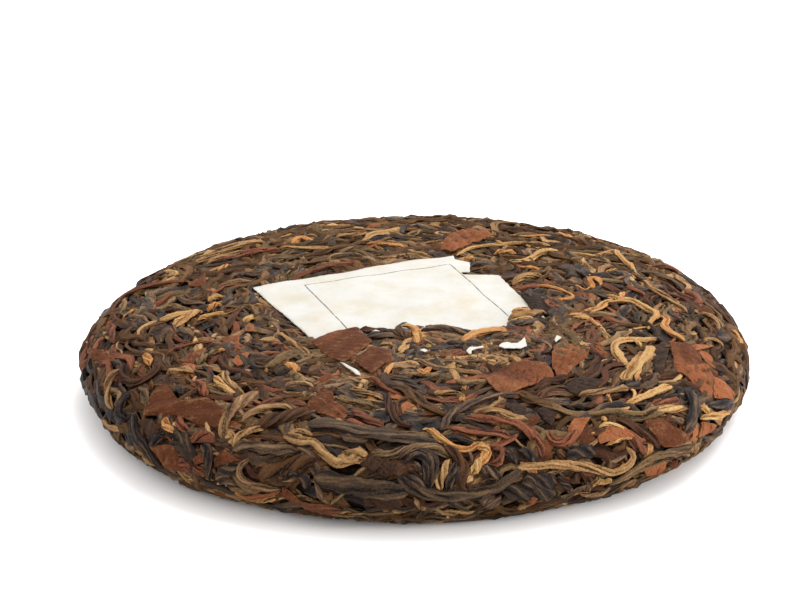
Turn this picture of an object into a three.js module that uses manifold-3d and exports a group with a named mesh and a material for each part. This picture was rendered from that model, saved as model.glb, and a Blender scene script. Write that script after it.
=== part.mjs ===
// A round cake of pressed whole-leaf black tea, with a paper ticket pressed into its top face.
// Millimetres, +Z up. The origin is the middle of the foot that the cake rests on.
// The cake is one solid: a smooth core with the largest rolled leaves and torn leaf pieces fused to it.
// The ticket lies on the core, and its front part runs under the leaves that hold it.

import * as THREE from "three";
import { mergeVertices } from "three/addons/utils/BufferGeometryUtils.js";
import Module from "manifold-3d";

const wasm = await Module();
wasm.setup();

// Form of the whole cake, over the leaves
const CAKE_DIAMETER = 150;
const CAKE_HEIGHT = 21;
const WIDEST_HEIGHT = 8.5;
const SHOULDER_REACH = 15;
const FOOT_REACH = 10;
const DOME_RISE = 1.5;

// How far the leaves stand out of the core, and how far they are let into it
const LEAF_RELIEF = 1.8;
const LEAF_SINK = 0.35;
const FOOT_RELIEF = 0.7;

// The core's net of faces
const CORE_SEGMENTS = 30;
const DOME_STEPS = 2;
const SHOULDER_STEPS = 3;
const FOOT_STEPS = 2;
const OUTLINE_WAVES = [3, 5, 8];
const OUTLINE_WAVE_HEIGHT = 0.35;
const OUTLINE_WAVE_POWER = 8;
const AREA_STEPS = 200;

// Rolled leaves: whole ones are laid first, then broken ones in the gaps left between them
const WHOLE_LEAVES = { places: 260, length: [24, 44], width: [3, 5] };
const BROKEN_LEAVES = { places: 800, length: [10, 19], width: [2.6, 3.8] };
const UNDERSIDE_LEAVES = { places: 22, length: [24, 40], width: [3, 5] };
const LEAF_FLATNESS = 0.62;
const LEAF_SIDES = 4;
const LEAF_STEPS = 4;
const LEAF_TWIST = [0.3, 1.2];
const LEAF_BEND = 1.1;
const TIP_SHARE = 0.45;
const TAPER_POWER = 0.5;
const RIM_ALIGNMENT = 0.7;
const HEADING_SPREAD = [0.35, 1.3];
const HEADING_TRIES = 24;
const LEAST_GAP = 0.15;

// Torn flat pieces of leaf
const FACE_FLAKES = 18;
const FLAKE_LENGTH = [11, 20];
const FLAKE_ASPECT = [0.5, 0.8];
const FLAKE_CORNERS = 7;
const FLAKE_RAGGEDNESS = 0.22;
const FLAKE_THICKNESS = 1.2;

// Paper ticket: two sides, turn about +Z, where its middle lies, and its torn back corner
const TICKET_WIDTH = 54;
const TICKET_LENGTH = 56;
const TICKET_TURN = THREE.MathUtils.degToRad(21);
const TICKET_MIDDLE = new THREE.Vector2(-1.8, -0.3);
const TICKET_THICKNESS = 0.4;
const TICKET_CELLS = [6, 7];
const TICKET_WAVE_HEIGHT = 0.15;
const TICKET_WAVE_LENGTH = 31;
const TORN_CORNER = [6.5, 15];
const CLEARANCE = 0.3;
const TICKET_MARGIN = 2.5;

// The layer of leaf that laps over the front of the ticket: its wavy back edge, its thickness over the
// core, how deep it is rooted and its edges dive, how far it runs on, and its net of faces
const COVER_EDGE = -9.5;
const COVER_EDGE_WAVE = 4.5;
const COVER_EDGE_WAVE_LENGTH = 32;
const COVER_EDGE_PEAK = -5;
const COVER_THICKNESS = 2.1;
const COVER_SHARE = 0.75;
const COVER_ROOT = 1.2;
const COVER_DIVE = 0.5;
const COVER_TAIL = 11;
const COVER_SIDE_LAP = 5;
const COVER_CELLS = [9, 4];

const GOLDEN_ANGLE = Math.PI * (3 - Math.sqrt(5));
const SEED = 20;

const coreRadius = CAKE_DIAMETER / 2 - LEAF_RELIEF;
const coreTop = CAKE_HEIGHT - LEAF_RELIEF;

/** A seeded stream of even random numbers from 0 to 1. */
function seededRandom(seed) {
  let state = seed;
  return () => {
    state = (state + 0x6d2b79f5) | 0;
    let mixed = Math.imul(state ^ (state >>> 15), 1 | state);
    mixed = (mixed + Math.imul(mixed ^ (mixed >>> 7), 61 | mixed)) ^ mixed;
    return ((mixed ^ (mixed >>> 14)) >>> 0) / 4294967296;
  };
}

const random = seededRandom(SEED);
const between = ([low, high]) => low + (high - low) * random();
const eitherWay = (most) => (random() * 2 - 1) * most;

/** The core's half section, from the middle of its top over the shoulder and round the foot. */
function coreProfile() {
  const shoulder = coreTop - DOME_RISE - WIDEST_HEIGHT;
  const domeEdge = coreRadius - SHOULDER_REACH;
  const path = new THREE.Path();
  path.moveTo(0, coreTop);
  path.quadraticCurveTo(domeEdge / 2, coreTop, domeEdge, WIDEST_HEIGHT + shoulder);
  path.absellipse(domeEdge, WIDEST_HEIGHT, SHOULDER_REACH, shoulder, Math.PI / 2, 0, true);
  path.absellipse(
    coreRadius - FOOT_REACH,
    WIDEST_HEIGHT,
    FOOT_REACH,
    WIDEST_HEIGHT - FOOT_RELIEF,
    0,
    -Math.PI / 2,
    true,
  );
  return path;
}

const profile = coreProfile();
const profileLength = profile.getLength();

/** Ring of the core at a distance along its profile: radius, height and outward normal. */
function ringAt(distance) {
  const share = THREE.MathUtils.clamp(distance / profileLength, 0, 1);
  const point = profile.getPointAt(share);
  const along = profile.getTangentAt(share);
  return { radius: point.x, height: point.y, out: -along.y, up: along.x };
}

/** How far the cake's outline swells or shrinks at an angle, as a pressed cake is never quite round. */
function outlineWave(angle) {
  return OUTLINE_WAVES.reduce((sum, waves) => sum + Math.sin(waves * angle + waves), 0) * OUTLINE_WAVE_HEIGHT;
}

/** Place and outward normal over the core. The chart is a plan whose distances run along the profile. */
function overCore(chart, lift) {
  const ring = ringAt(chart.length());
  const angle = Math.atan2(chart.y, chart.x);
  const radius = ring.radius + ring.out * (lift + outlineWave(angle));
  const outward = new THREE.Vector3(Math.cos(angle), Math.sin(angle), 0);
  const place = outward.clone().multiplyScalar(radius).setZ(ring.height + ring.up * lift);
  const normal = outward.multiplyScalar(ring.out).setZ(ring.up);
  return { place, normal };
}

/** Place and outward normal under the foot, where the chart is a plain plan seen from below. */
function underFoot(chart, lift) {
  return {
    place: new THREE.Vector3(-chart.x, chart.y, FOOT_RELIEF - lift),
    normal: new THREE.Vector3(0, 0, -1),
  };
}

/** One step over the core in a chart direction, at its true length round the rim. */
function stepOver(chart, heading, length) {
  const distance = Math.max(chart.length(), 1);
  const outward = chart.clone().divideScalar(distance);
  const round = new THREE.Vector2(-outward.y, outward.x);
  const direction = new THREE.Vector2(Math.cos(heading), Math.sin(heading));
  const tightening = distance / Math.max(ringAt(distance).radius, 1);
  return chart
    .clone()
    .addScaledVector(outward, direction.dot(outward) * length)
    .addScaledVector(round, direction.dot(round) * length * tightening);
}

/** Chart points of a bent route of a given length, through its middle. */
function leafRoute(middle, heading, length, bend) {
  const step = length / LEAF_STEPS;
  let chart = middle;
  for (let i = 0; i < LEAF_STEPS / 2; i++) chart = stepOver(chart, heading + Math.PI, step);
  const route = [chart];
  for (let i = 0; i < LEAF_STEPS; i++) {
    chart = stepOver(chart, heading + bend * (i / LEAF_STEPS - 0.5), step);
    route.push(chart);
  }
  return route;
}

/** A closed geometry as a solid for joining and cutting. */
function solidOf(geometry) {
  const bare = geometry.index ? geometry.toNonIndexed() : geometry.clone();
  bare.deleteAttribute("normal");
  bare.deleteAttribute("uv");
  const merged = mergeVertices(bare, 1e-4);
  return new wasm.Manifold(
    new wasm.Mesh({
      numProp: 3,
      vertProperties: new Float32Array(merged.attributes.position.array),
      triVerts: new Uint32Array(merged.index.array),
    }),
  );
}

/** A solid as a geometry to show. */
function geometryOf(solid) {
  const mesh = solid.getMesh();
  const geometry = new THREE.BufferGeometry();
  geometry.setAttribute("position", new THREE.BufferAttribute(mesh.vertProperties, 3));
  geometry.setIndex(new THREE.BufferAttribute(mesh.triVerts, 1));
  geometry.computeVertexNormals();
  return geometry;
}

/** Moves every vertex of a geometry by a rule from its old place to its new one. */
function reshape(geometry, rule) {
  const position = geometry.attributes.position;
  const vertex = new THREE.Vector3();
  for (let i = 0; i < position.count; i++) {
    const moved = rule(vertex.fromBufferAttribute(position, i));
    position.setXYZ(i, moved.x, moved.y, moved.z);
  }
  return geometry;
}

/** The bare core: a turned body, let out and in a little round its outline. */
function coreSolid() {
  const domeEdge = coreRadius - SHOULDER_REACH;
  const domeLength = profile.curves[0].getLength();
  const shoulderEnd = domeLength + profile.curves[1].getLength();
  const distances = [
    ...Array.from({ length: DOME_STEPS }, (_, i) => (domeLength * i) / DOME_STEPS),
    ...Array.from({ length: SHOULDER_STEPS }, (_, i) => {
      return domeLength + ((shoulderEnd - domeLength) * i) / SHOULDER_STEPS;
    }),
    ...Array.from({ length: FOOT_STEPS + 1 }, (_, i) => {
      return shoulderEnd + ((profileLength - shoulderEnd) * i) / FOOT_STEPS;
    }),
  ];
  const points = distances.map((distance) => profile.getPointAt(distance / profileLength));
  points[0].x = 0;
  points.push(new THREE.Vector2(domeEdge / 2, FOOT_RELIEF), new THREE.Vector2(0, FOOT_RELIEF));
  const turned = new THREE.LatheGeometry(points.reverse(), CORE_SEGMENTS);
  turned.rotateX(Math.PI / 2);
  return solidOf(
    reshape(turned, (vertex) => {
      const nearRim = (Math.hypot(vertex.x, vertex.y) / coreRadius) ** OUTLINE_WAVE_POWER;
      const swell = 1 + (outlineWave(Math.atan2(vertex.y, vertex.x)) * nearRim) / coreRadius;
      return new THREE.Vector3(vertex.x * swell, vertex.y * swell, vertex.z);
    }),
  );
}

/** A rolled leaf along a route: a tapered, flattened bar whose sides turn as they run. */
function rolledLeaf(route, lifts, width, surface) {
  const frames = route.map((chart, i) => surface(chart, lifts[i]));
  const curve = new THREE.CatmullRomCurve3(frames.map((frame) => frame.place));
  const twist = between(LEAF_TWIST);
  const bar = new THREE.CylinderGeometry(1, 1, 1, LEAF_SIDES, route.length - 1);
  return solidOf(
    reshape(bar, (vertex) => {
      const share = vertex.y + 0.5;
      const index = Math.round(share * (route.length - 1));
      const { place, normal } = frames[index];
      const along = curve.getTangent(share);
      const side = along.clone().cross(normal).normalize();
      const taper = TIP_SHARE + (1 - TIP_SHARE) * Math.sin(Math.PI * share) ** TAPER_POWER;
      const turned = Math.atan2(vertex.z, vertex.x) + twist * share;
      const reach = Math.hypot(vertex.x, vertex.z) * taper * (width / 2);
      return place
        .clone()
        .addScaledVector(side, Math.cos(turned) * reach)
        .addScaledVector(normal, Math.sin(turned) * reach * LEAF_FLATNESS);
    }),
  );
}

/** A torn flat piece of leaf lying on the core. */
function tornFlake(middle, turn, length, width, lift, surface) {
  const outline = Array.from({ length: FLAKE_CORNERS }, (_, i) => {
    const angle = (2 * Math.PI * (i + eitherWay(FLAKE_RAGGEDNESS))) / FLAKE_CORNERS;
    const reach = 1 + eitherWay(FLAKE_RAGGEDNESS);
    return new THREE.Vector2((Math.cos(angle) * length * reach) / 2, (Math.sin(angle) * width * reach) / 2);
  });
  const plate = new THREE.ExtrudeGeometry(new THREE.Shape(outline), {
    depth: FLAKE_THICKNESS,
    bevelEnabled: false,
  });
  const origin = new THREE.Vector2();
  return solidOf(
    reshape(plate, (vertex) => {
      const chart = new THREE.Vector2(vertex.x, vertex.y).rotateAround(origin, turn).add(middle);
      return surface(chart, lift + vertex.z).place;
    }),
  );
}

/** A chart place in the ticket's own two directions, from its middle. */
function onTicket(chart) {
  return chart.clone().sub(TICKET_MIDDLE).rotateAround(new THREE.Vector2(), -TICKET_TURN);
}

/** The chart place of a point given in the ticket's own two directions. */
function fromTicket(across, along) {
  return new THREE.Vector2(across, along).rotateAround(new THREE.Vector2(), TICKET_TURN).add(TICKET_MIDDLE);
}

/** The back edge of the layer that covers the ticket's front, at a place across the ticket. */
function coverEdge(across) {
  const turn = (2 * Math.PI * (across - COVER_EDGE_PEAK)) / COVER_EDGE_WAVE_LENGTH;
  return COVER_EDGE + COVER_EDGE_WAVE * Math.cos(turn);
}

/** Whether a chart place lies on the part of the ticket that shows, or within its margin. */
function meetsTicket(chart) {
  const place = onTicket(chart);
  const across = TICKET_WIDTH / 2 + TICKET_MARGIN;
  const along = TICKET_LENGTH / 2 + TICKET_MARGIN;
  return Math.abs(place.x) < across && place.y < along && place.y > coverEdge(place.x) - TICKET_MARGIN;
}

/** How far the covering layer lifts what lies on the cake at a chart place. */
function coverLift(chart) {
  const place = onTicket(chart);
  return place.y > coverEdge(place.x) ? 0 : Math.max(coverThickness(place.x, place.y), 0);
}

/** The ticket as a thin wavy sheet, grown on every side by an allowance. */
function ticketSolid(grown) {
  const thickness = TICKET_THICKNESS + 2 * grown;
  const sheet = new THREE.BoxGeometry(
    TICKET_WIDTH + 2 * grown,
    TICKET_LENGTH + 2 * grown,
    thickness,
    TICKET_CELLS[0],
    TICKET_CELLS[1],
    1,
  );
  const corner = new THREE.BoxGeometry(TORN_CORNER[0], TORN_CORNER[1], CAKE_HEIGHT);
  corner.translate(
    (TICKET_WIDTH - TORN_CORNER[0]) / 2 + grown + CLEARANCE,
    (TICKET_LENGTH - TORN_CORNER[1]) / 2 + grown + CLEARANCE,
    0,
  );
  const flat = solidOf(sheet).subtract(solidOf(corner));
  return solidOf(
    reshape(geometryOf(flat), (vertex) => {
      const turns = (2 * Math.PI) / TICKET_WAVE_LENGTH;
      const wave = Math.sin(vertex.x * turns) * Math.cos(vertex.y * turns);
      const lift = CLEARANCE + TICKET_THICKNESS / 2 + TICKET_WAVE_HEIGHT * (1 + wave) + vertex.z;
      return overCore(fromTicket(vertex.x, vertex.y), lift).place;
    }),
  );
}

/** The distance along the profile within which a share of the area of top and flank lies. */
function distanceOfArea(share) {
  const areas = [0];
  for (let i = 1; i <= AREA_STEPS; i++) {
    areas.push(areas[i - 1] + ringAt((profileLength * (i - 0.5)) / AREA_STEPS).radius);
  }
  const wanted = share * areas[AREA_STEPS];
  return (profileLength * areas.findIndex((area) => area >= wanted)) / AREA_STEPS;
}

/** The i-th of a count of chart places spread evenly over top and flank. */
function spreadPlace(i, count) {
  const distance = distanceOfArea((i + 0.5) / count);
  const angle = i * GOLDEN_ANGLE;
  return new THREE.Vector2(Math.cos(angle) * distance, Math.sin(angle) * distance);
}

/** A heading for a leaf: any way near the middle, mostly round the rim further out. */
function leafHeading(chart) {
  const nearRim = THREE.MathUtils.smoothstep(chart.length() / coreRadius, 1 - RIM_ALIGNMENT, 1);
  const spread = THREE.MathUtils.lerp(HEADING_SPREAD[1], HEADING_SPREAD[0], nearRim);
  return Math.atan2(chart.y, chart.x) + Math.PI / 2 + eitherWay(spread);
}

/** Chart points along a route, close enough together to find what another leaf would cross. */
function pointsAlong(route) {
  const shares = [0, 1 / 3, 2 / 3];
  return route.slice(1).flatMap((end, i) => shares.map((share) => route[i].clone().lerp(end, share)));
}

/** Whether a leaf's route keeps clear of the ticket, the foot's edge and the leaves already laid. */
function clearRoute(route, width, laid) {
  const onCake = route.every((chart) => !meetsTicket(chart) && chart.length() < profileLength);
  return onCake && pointsAlong(route).every((point) => {
    return laid.every((other) => point.distanceTo(other.point) > (width + other.width) / 2 + LEAST_GAP);
  });
}

/** The rolled leaves on top and flank. Each takes the first of a few headings that keeps it clear. */
function faceLeaves() {
  const leaves = [];
  const laid = [];
  for (const kind of [WHOLE_LEAVES, BROKEN_LEAVES]) {
    for (let i = 0; i < kind.places; i++) {
      const middle = spreadPlace(i, kind.places);
      const width = between(kind.width);
      const length = between(kind.length);
      const routes = Array.from({ length: HEADING_TRIES }, () => {
        return leafRoute(middle, leafHeading(middle), length, eitherWay(LEAF_BEND));
      });
      const route = routes.find((tried) => clearRoute(tried, width, laid));
      if (!route) continue;
      const lift = LEAF_RELIEF - (width * LEAF_FLATNESS) / 2;
      const lifts = route.map((chart) => lift + coverLift(chart) * COVER_SHARE);
      leaves.push(rolledLeaf(route, lifts, width, overCore));
      laid.push(...pointsAlong(route).map((point) => ({ point, width })));
    }
  }
  return leaves;
}

/** The torn flat pieces on top and flank, clear of the ticket. */
function faceFlakes() {
  const flakes = [];
  for (let i = 0; i < FACE_FLAKES; i++) {
    const middle = spreadPlace(i, FACE_FLAKES);
    const length = between(FLAKE_LENGTH);
    const width = length * between(FLAKE_ASPECT);
    const turn = leafHeading(middle);
    const reach = (chart) => chart.clone().setLength(chart.length() - length / 2);
    const clear = !meetsTicket(middle) && !meetsTicket(reach(middle));
    const lift = LEAF_RELIEF - FLAKE_THICKNESS;
    if (clear) flakes.push(tornFlake(middle, turn, length, width, lift - LEAF_SINK, overCore));
  }
  return flakes;
}

/** How far the covering layer stands over the core at a point given in the ticket's own two directions. */
function coverThickness(across, along) {
  const half = TICKET_WIDTH / 2;
  const front = -TICKET_LENGTH / 2;
  const fromSide = THREE.MathUtils.smoothstep(half + COVER_SIDE_LAP - Math.abs(across), 0, COVER_SIDE_LAP);
  const fromTail = THREE.MathUtils.smoothstep(along, front - COVER_TAIL, front);
  return THREE.MathUtils.lerp(-COVER_DIVE, COVER_THICKNESS, fromSide * fromTail);
}

/** The layer of leaf over the front of the ticket, rooted in the cake round it. */
function coverLayer() {
  const width = TICKET_WIDTH + 2 * COVER_SIDE_LAP;
  const tail = -TICKET_LENGTH / 2 - COVER_TAIL;
  const pad = new THREE.BoxGeometry(width, 1, 1, COVER_CELLS[0], COVER_CELLS[1], 1);
  return solidOf(
    reshape(pad, (vertex) => {
      const along = THREE.MathUtils.lerp(tail, coverEdge(vertex.x), vertex.y + 0.5);
      const lift = vertex.z > 0 ? coverThickness(vertex.x, along) : -COVER_ROOT;
      return overCore(fromTicket(vertex.x, along), lift).place;
    }),
  );
}

/** The rolled leaves under the cake, pressed flat by what it rests on. */
function undersideLeaves() {
  const flatRadius = coreRadius - FOOT_REACH;
  const leaves = [];
  for (let i = 0; i < UNDERSIDE_LEAVES.places; i++) {
    const distance = flatRadius * Math.sqrt((i + 0.5) / UNDERSIDE_LEAVES.places);
    const angle = i * GOLDEN_ANGLE;
    const middle = new THREE.Vector2(Math.cos(angle) * distance, Math.sin(angle) * distance);
    const heading = leafHeading(middle);
    const length = between(UNDERSIDE_LEAVES.length);
    const bend = eitherWay(LEAF_BEND);
    const route = Array.from({ length: LEAF_STEPS + 1 }, (_, step) => {
      const share = step / LEAF_STEPS - 0.5;
      const turn = heading + bend * share;
      const direction = new THREE.Vector2(Math.cos(turn), Math.sin(turn));
      return middle.clone().addScaledVector(direction, length * share);
    });
    if (route.every((chart) => chart.length() < flatRadius)) {
      leaves.push(rolledLeaf(route, route.map(() => 0), between(UNDERSIDE_LEAVES.width), underFoot));
    }
  }
  return leaves;
}

/** The torn flat piece under the cake's middle, whose face lies on what the cake rests on. */
function footFlake() {
  const length = FLAKE_LENGTH[1];
  const width = length * FLAKE_ASPECT[1];
  return tornFlake(new THREE.Vector2(), 0, length, width, FOOT_RELIEF - FLAKE_THICKNESS, underFoot);
}

/** What lies below the plane that the cake rests on. */
function floorSlab() {
  const slab = new THREE.BoxGeometry(CAKE_DIAMETER * 2, CAKE_DIAMETER * 2, CAKE_HEIGHT);
  return solidOf(slab.translate(0, 0, -CAKE_HEIGHT / 2));
}

/** The outer shell of a solid: loose scraps are dropped and sealed hollows filled. */
function largestShell(solid) {
  return solid.decompose().reduce((best, shell) => (shell.volume() > best.volume() ? shell : best));
}

function cakeSolid() {
  const pieces = [coverLayer(), ...faceLeaves(), ...faceFlakes(), ...undersideLeaves(), footFlake()];
  const fused = pieces.reduce((cake, piece) => cake.add(piece), coreSolid());
  return largestShell(fused.subtract(ticketSolid(CLEARANCE)).subtract(floorSlab()));
}

const leafMaterial = new THREE.MeshStandardMaterial({ color: "#3d2b1d", roughness: 0.72, metalness: 0 });
const paperMaterial = new THREE.MeshStandardMaterial({ color: "#efe9dc", roughness: 0.85, metalness: 0 });

const cake = new THREE.Mesh(geometryOf(cakeSolid()), leafMaterial);
cake.name = "tea_cake";
const ticket = new THREE.Mesh(geometryOf(ticketSolid(0)), paperMaterial);
ticket.name = "ticket";

const pressedTea = new THREE.Group();
pressedTea.add(cake, ticket);

export default pressedTea;
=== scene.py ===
"""Looks of a pressed black tea cake with a paper ticket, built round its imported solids.

Sizes are in millimetres until a mesh is written. Both faces of the cake are charts: flat plans whose
distances run along the cake's half section, so a leaf is routed in two directions and lifted off the core
in the third.
"""

import logging
import math
from dataclasses import dataclass, field, replace
from enum import Enum

import bmesh
import bpy
import numpy as np
from mathutils import Matrix, Vector


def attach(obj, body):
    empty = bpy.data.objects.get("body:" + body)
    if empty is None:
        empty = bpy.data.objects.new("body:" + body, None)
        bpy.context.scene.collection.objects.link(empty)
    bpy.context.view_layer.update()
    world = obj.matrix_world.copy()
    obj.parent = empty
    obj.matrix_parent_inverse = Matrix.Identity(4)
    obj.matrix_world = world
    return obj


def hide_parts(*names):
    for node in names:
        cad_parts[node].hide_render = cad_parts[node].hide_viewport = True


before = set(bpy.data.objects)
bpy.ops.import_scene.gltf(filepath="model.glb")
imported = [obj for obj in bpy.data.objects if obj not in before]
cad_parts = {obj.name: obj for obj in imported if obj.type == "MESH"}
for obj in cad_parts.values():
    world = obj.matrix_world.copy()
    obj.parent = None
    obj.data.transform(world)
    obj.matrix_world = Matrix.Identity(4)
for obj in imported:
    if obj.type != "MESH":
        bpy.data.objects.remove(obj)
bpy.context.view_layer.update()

Array = np.ndarray
Socket = bpy.types.NodeSocket

MM = 0.001
TINY = 1e-9
SEED = 7
BODY = "root"
GRAIN_MAP = "grain"
BAKE_MAP = "OFBake"
TONE = "tone"
SHADE = "shade"
# Per-vertex value for how far a place stands out, lowered on undersides and in hollows as painted shade.
RIDGE_AND_SHADE = "ridge_and_shade"
MOTTLE_SPAN = (0.25, 0.75)
SHADER_INPUTS = {
    "colour": "Base Color", "roughness": "Roughness", "gloss": "Specular IOR Level", "normal": "Normal"
}
# Light that leaf and paper give back, as a share of what their pictured colours would.
LEAF_SHARE = 0.285
PAPER_SHARE = 0.335
log = logging.getLogger("tea_cake")


def linear(hex_colour: str) -> tuple[float, float, float, float]:
    """A colour as a shader takes it.

    Args:
        hex_colour: Six hex digits of a screen colour.

    Returns:
        Red, green, blue and alpha, the first three linear.
    """
    parts = [int(hex_colour[i:i + 2], 16) / 255 for i in (0, 2, 4)]
    return (*(p / 12.92 if p <= 0.04045 else ((p + 0.055) / 1.055) ** 2.4 for p in parts), 1.0)


def pictured(hex_colour: str, share: float) -> tuple[float, float, float, float]:
    """A thing's own colour from its colour in the photograph, whose floor is far over-exposed.

    Args:
        hex_colour: Six hex digits of the colour in the photograph.
        share: How much light the thing gives back, as a share of what its pictured colour would.

    Returns:
        Red, green, blue and alpha, the first three linear.
    """
    red, green, blue, alpha = linear(hex_colour)
    return (red * share, green * share, blue * share, alpha)


def smooth(low: float, high: float, value: Array) -> Array:
    """A smooth step from 0 at low to 1 at high."""
    share = np.clip((value - low) / (high - low), 0, 1)
    return share * share * (3 - 2 * share)


def unit(vectors: Array) -> Array:
    """Vectors of length one along the last axis."""
    return vectors / np.maximum(np.linalg.norm(vectors, axis=-1, keepdims=True), TINY)


def turned(points: Array, angle: float) -> Array:
    """Plan points turned about the origin."""
    cos, sin = math.cos(angle), math.sin(angle)
    return points @ np.array([[cos, sin], [-sin, cos]])


def across_of(route: Array) -> Array:
    """Directions across a route, to its left."""
    along = unit(np.gradient(route, axis=0))
    return np.c_[-along[:, 1], along[:, 0]]


def run_along(points: Array) -> Array:
    """Distance along a line of points at each of them."""
    return np.r_[0, np.cumsum(np.linalg.norm(np.diff(points, axis=0), axis=1))]


def resampled(at: Array, run: Array, points: Array) -> Array:
    """Plan points at distances along a line of them."""
    return np.c_[np.interp(at, run, points[:, 0]), np.interp(at, run, points[:, 1])]


def placed(name: str, data: bpy.types.ID) -> bpy.types.Object:
    """Puts a mesh, a light or a camera into the scene.

    Args:
        name: The object's name.
        data: What it holds.

    Returns:
        The object, at the origin.
    """
    made = bpy.data.objects.new(name, data)
    bpy.context.scene.collection.objects.link(made)
    return made


def mesh_of(shape: bmesh.types.BMesh, name: str) -> bpy.types.Mesh:
    """Writes a finished shape as a mesh and frees it.

    Args:
        shape: The shape.
        name: The mesh's name.

    Returns:
        The mesh.
    """
    mesh = bpy.data.meshes.new(name)
    shape.to_mesh(mesh)
    shape.free()
    return mesh


class Side(Enum):
    """The two faces of the cake that leaves are laid on."""

    UPPER = 1
    LOWER = -1


class Kind(Enum):
    """The kinds of leaf, each a piece of its own."""

    BLACK = "black_leaves"
    BROWN = "brown_leaves"
    OLIVE = "olive_leaves"
    TAN = "tan_leaves"
    GOLD = "golden_buds"
    RED = "red_leaves"
    STEM = "leaf_stems"
    CRUMB = "leaf_crumbs"
    RED_FLAKE = "red_flakes"
    DARK_FLAKE = "dark_flakes"
    SCRAP = "ticket_scraps"


BLACK, BROWN, OLIVE, TAN, GOLD, RED, STEM, CRUMB, RED_FLAKE, DARK_FLAKE, SCRAP = Kind


@dataclass(frozen=True)
class CakeForm:
    """The smooth form of the cake, as its solid has it."""

    diameter: float = 150.0
    height: float = 21.0
    widest_height: float = 8.5
    shoulder_reach: float = 15.0
    foot_reach: float = 10.0
    dome_rise: float = 1.5
    leaf_relief: float = 1.8
    foot_relief: float = 0.7
    foot_lap: float = 0.5
    waves: tuple[int, ...] = (3, 5, 8)
    wave_height: float = 0.35
    samples: int = 160

    @property
    def core_radius(self) -> float:
        """Radius of the core inside the leaves."""
        return self.diameter / 2 - self.leaf_relief

    def half_section(self) -> tuple[Array, int, int]:
        """The core's half section from the middle of its top to the middle of its underside.

        Returns:
            Radius and height of each point, the index of the foot's edge and that of the place on the flank
            to which the leaves of the underside reach.
        """
        share = np.linspace(0, 1, self.samples)
        quarter = share * math.pi / 2
        top = self.height - self.leaf_relief
        edge = self.core_radius - self.shoulder_reach
        shoulder = top - self.dome_rise - self.widest_height
        foot = self.core_radius - self.foot_reach
        dome = np.c_[edge * share, top - self.dome_rise * share**2]
        upper = np.c_[
            edge + self.shoulder_reach * np.sin(quarter), self.widest_height + shoulder * np.cos(quarter)
        ]
        depth = self.widest_height - self.foot_relief
        lower = np.c_[foot + self.foot_reach * np.cos(quarter), self.widest_height - depth * np.sin(quarter)]
        under = np.c_[foot * (1 - share), np.full(self.samples, self.foot_relief)]
        points = np.r_[dome, upper[1:], lower[1:], under[1:]]
        edge_of_foot = 3 * self.samples - 3
        return points, edge_of_foot, edge_of_foot - round(self.foot_lap * self.samples)

    def wave(self, angle: Array) -> Array:
        """How far the outline swells at an angle, as a pressed cake is never quite round."""
        return self.wave_height * sum(np.sin(count * angle + count) for count in self.waves)


@dataclass(frozen=True)
class TicketForm:
    """The paper ticket: its two sides, turn and middle on the upper chart, and its torn outline."""

    width: float = 54.0
    length: float = 56.0
    turn: float = math.radians(21)
    middle: tuple[float, float] = (-1.8, -0.3)
    outline: tuple[tuple[float, float], ...] = (
        (-28.0, 26.1), (-4.0, 27.0), (22.6, 28.3), (21.8, 25.4), (24.3, 22.0), (21.5, 15.4), (19.6, 16.1),
        (19.5, 14.5), (27.1, 11.1), (26.5, -7.6), (26.4, -28.0), (-25.7, -28.0), (-25.8, -9.2),
    )
    lift: float = 1.05
    wave_height: float = 0.22
    wave_length: float = 31.0
    thickness: float = 0.12
    cover: tuple[tuple[float, float], ...] = (
        (-28.0, -12.3), (-15.0, -8.7), (-14.5, -11.2), (-9.4, -11.0), (-3.8, -7.3), (1.5, -12.1),
        (7.4, -19.1), (12.6, -18.1), (17.8, -15.3), (25.5, -10.3), (30.0, -7.5),
    )

    def to_ticket(self, chart: Array) -> Array:
        """Chart points in the ticket's own two directions."""
        return turned(chart - np.array(self.middle), -self.turn)

    def to_chart(self, own: Array) -> Array:
        """Points in the ticket's own two directions, on the chart."""
        return turned(own, self.turn) + np.array(self.middle)

    def outside(self, chart: Array) -> Array:
        """How far chart points lie outside the ticket's outline.

        Args:
            chart: Chart points.

        Returns:
            Distances, negative inside the outline.
        """
        own = self.to_ticket(chart)
        away, inside = self.nearest_edge(own.reshape(-1, 2))[1:]
        return np.where(inside, -away, away).reshape(own.shape[:-1])

    def nearest_edge(self, own: Array) -> tuple[Array, Array, Array]:
        """Where the outline comes nearest to points in the ticket's own two directions.

        Args:
            own: Points, one to a row.

        Returns:
            The nearest points of the outline, how far away they are, and whether the points lie inside it.
        """
        starts = np.array(self.outline)
        sides = np.roll(starts, -1, 0) - starts
        gap = own[:, None] - starts
        share = np.clip((gap * sides).sum(2) / (sides**2).sum(1), 0, 1)
        feet = starts + share[..., None] * sides
        away = np.linalg.norm(own[:, None] - feet, axis=2)
        nearest = away.argmin(1)
        rises = (starts[:, 1] > own[:, 1:]) != (starts[:, 1] + sides[:, 1] > own[:, 1:])
        level = np.where(sides[:, 1] == 0, 1, sides[:, 1])
        crossed = own[:, :1] < starts[:, 0] + sides[:, 0] * (own[:, 1:] - starts[:, 1]) / level
        inside = (rises & crossed).sum(1) % 2 == 1
        rows = np.arange(len(own))
        return feet[rows, nearest], away[rows, nearest], inside

    def covered_by(self, chart: Array) -> Array:
        """How far chart points lie in front of the edge of the leaves that cover the ticket.

        Args:
            chart: Chart points.

        Returns:
            Distances, negative on the bare paper.
        """
        own = self.to_ticket(chart)
        across, edge = np.array(self.cover).T
        return np.interp(own[..., 0], across, edge) - own[..., 1]

    def wave(self, own: Array) -> Array:
        """Lift of the paper over the core at points in its own two directions."""
        turns = own * (math.tau / self.wave_length)
        return self.lift + self.wave_height * np.sin(turns[..., 0]) * np.cos(turns[..., 1])


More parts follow.
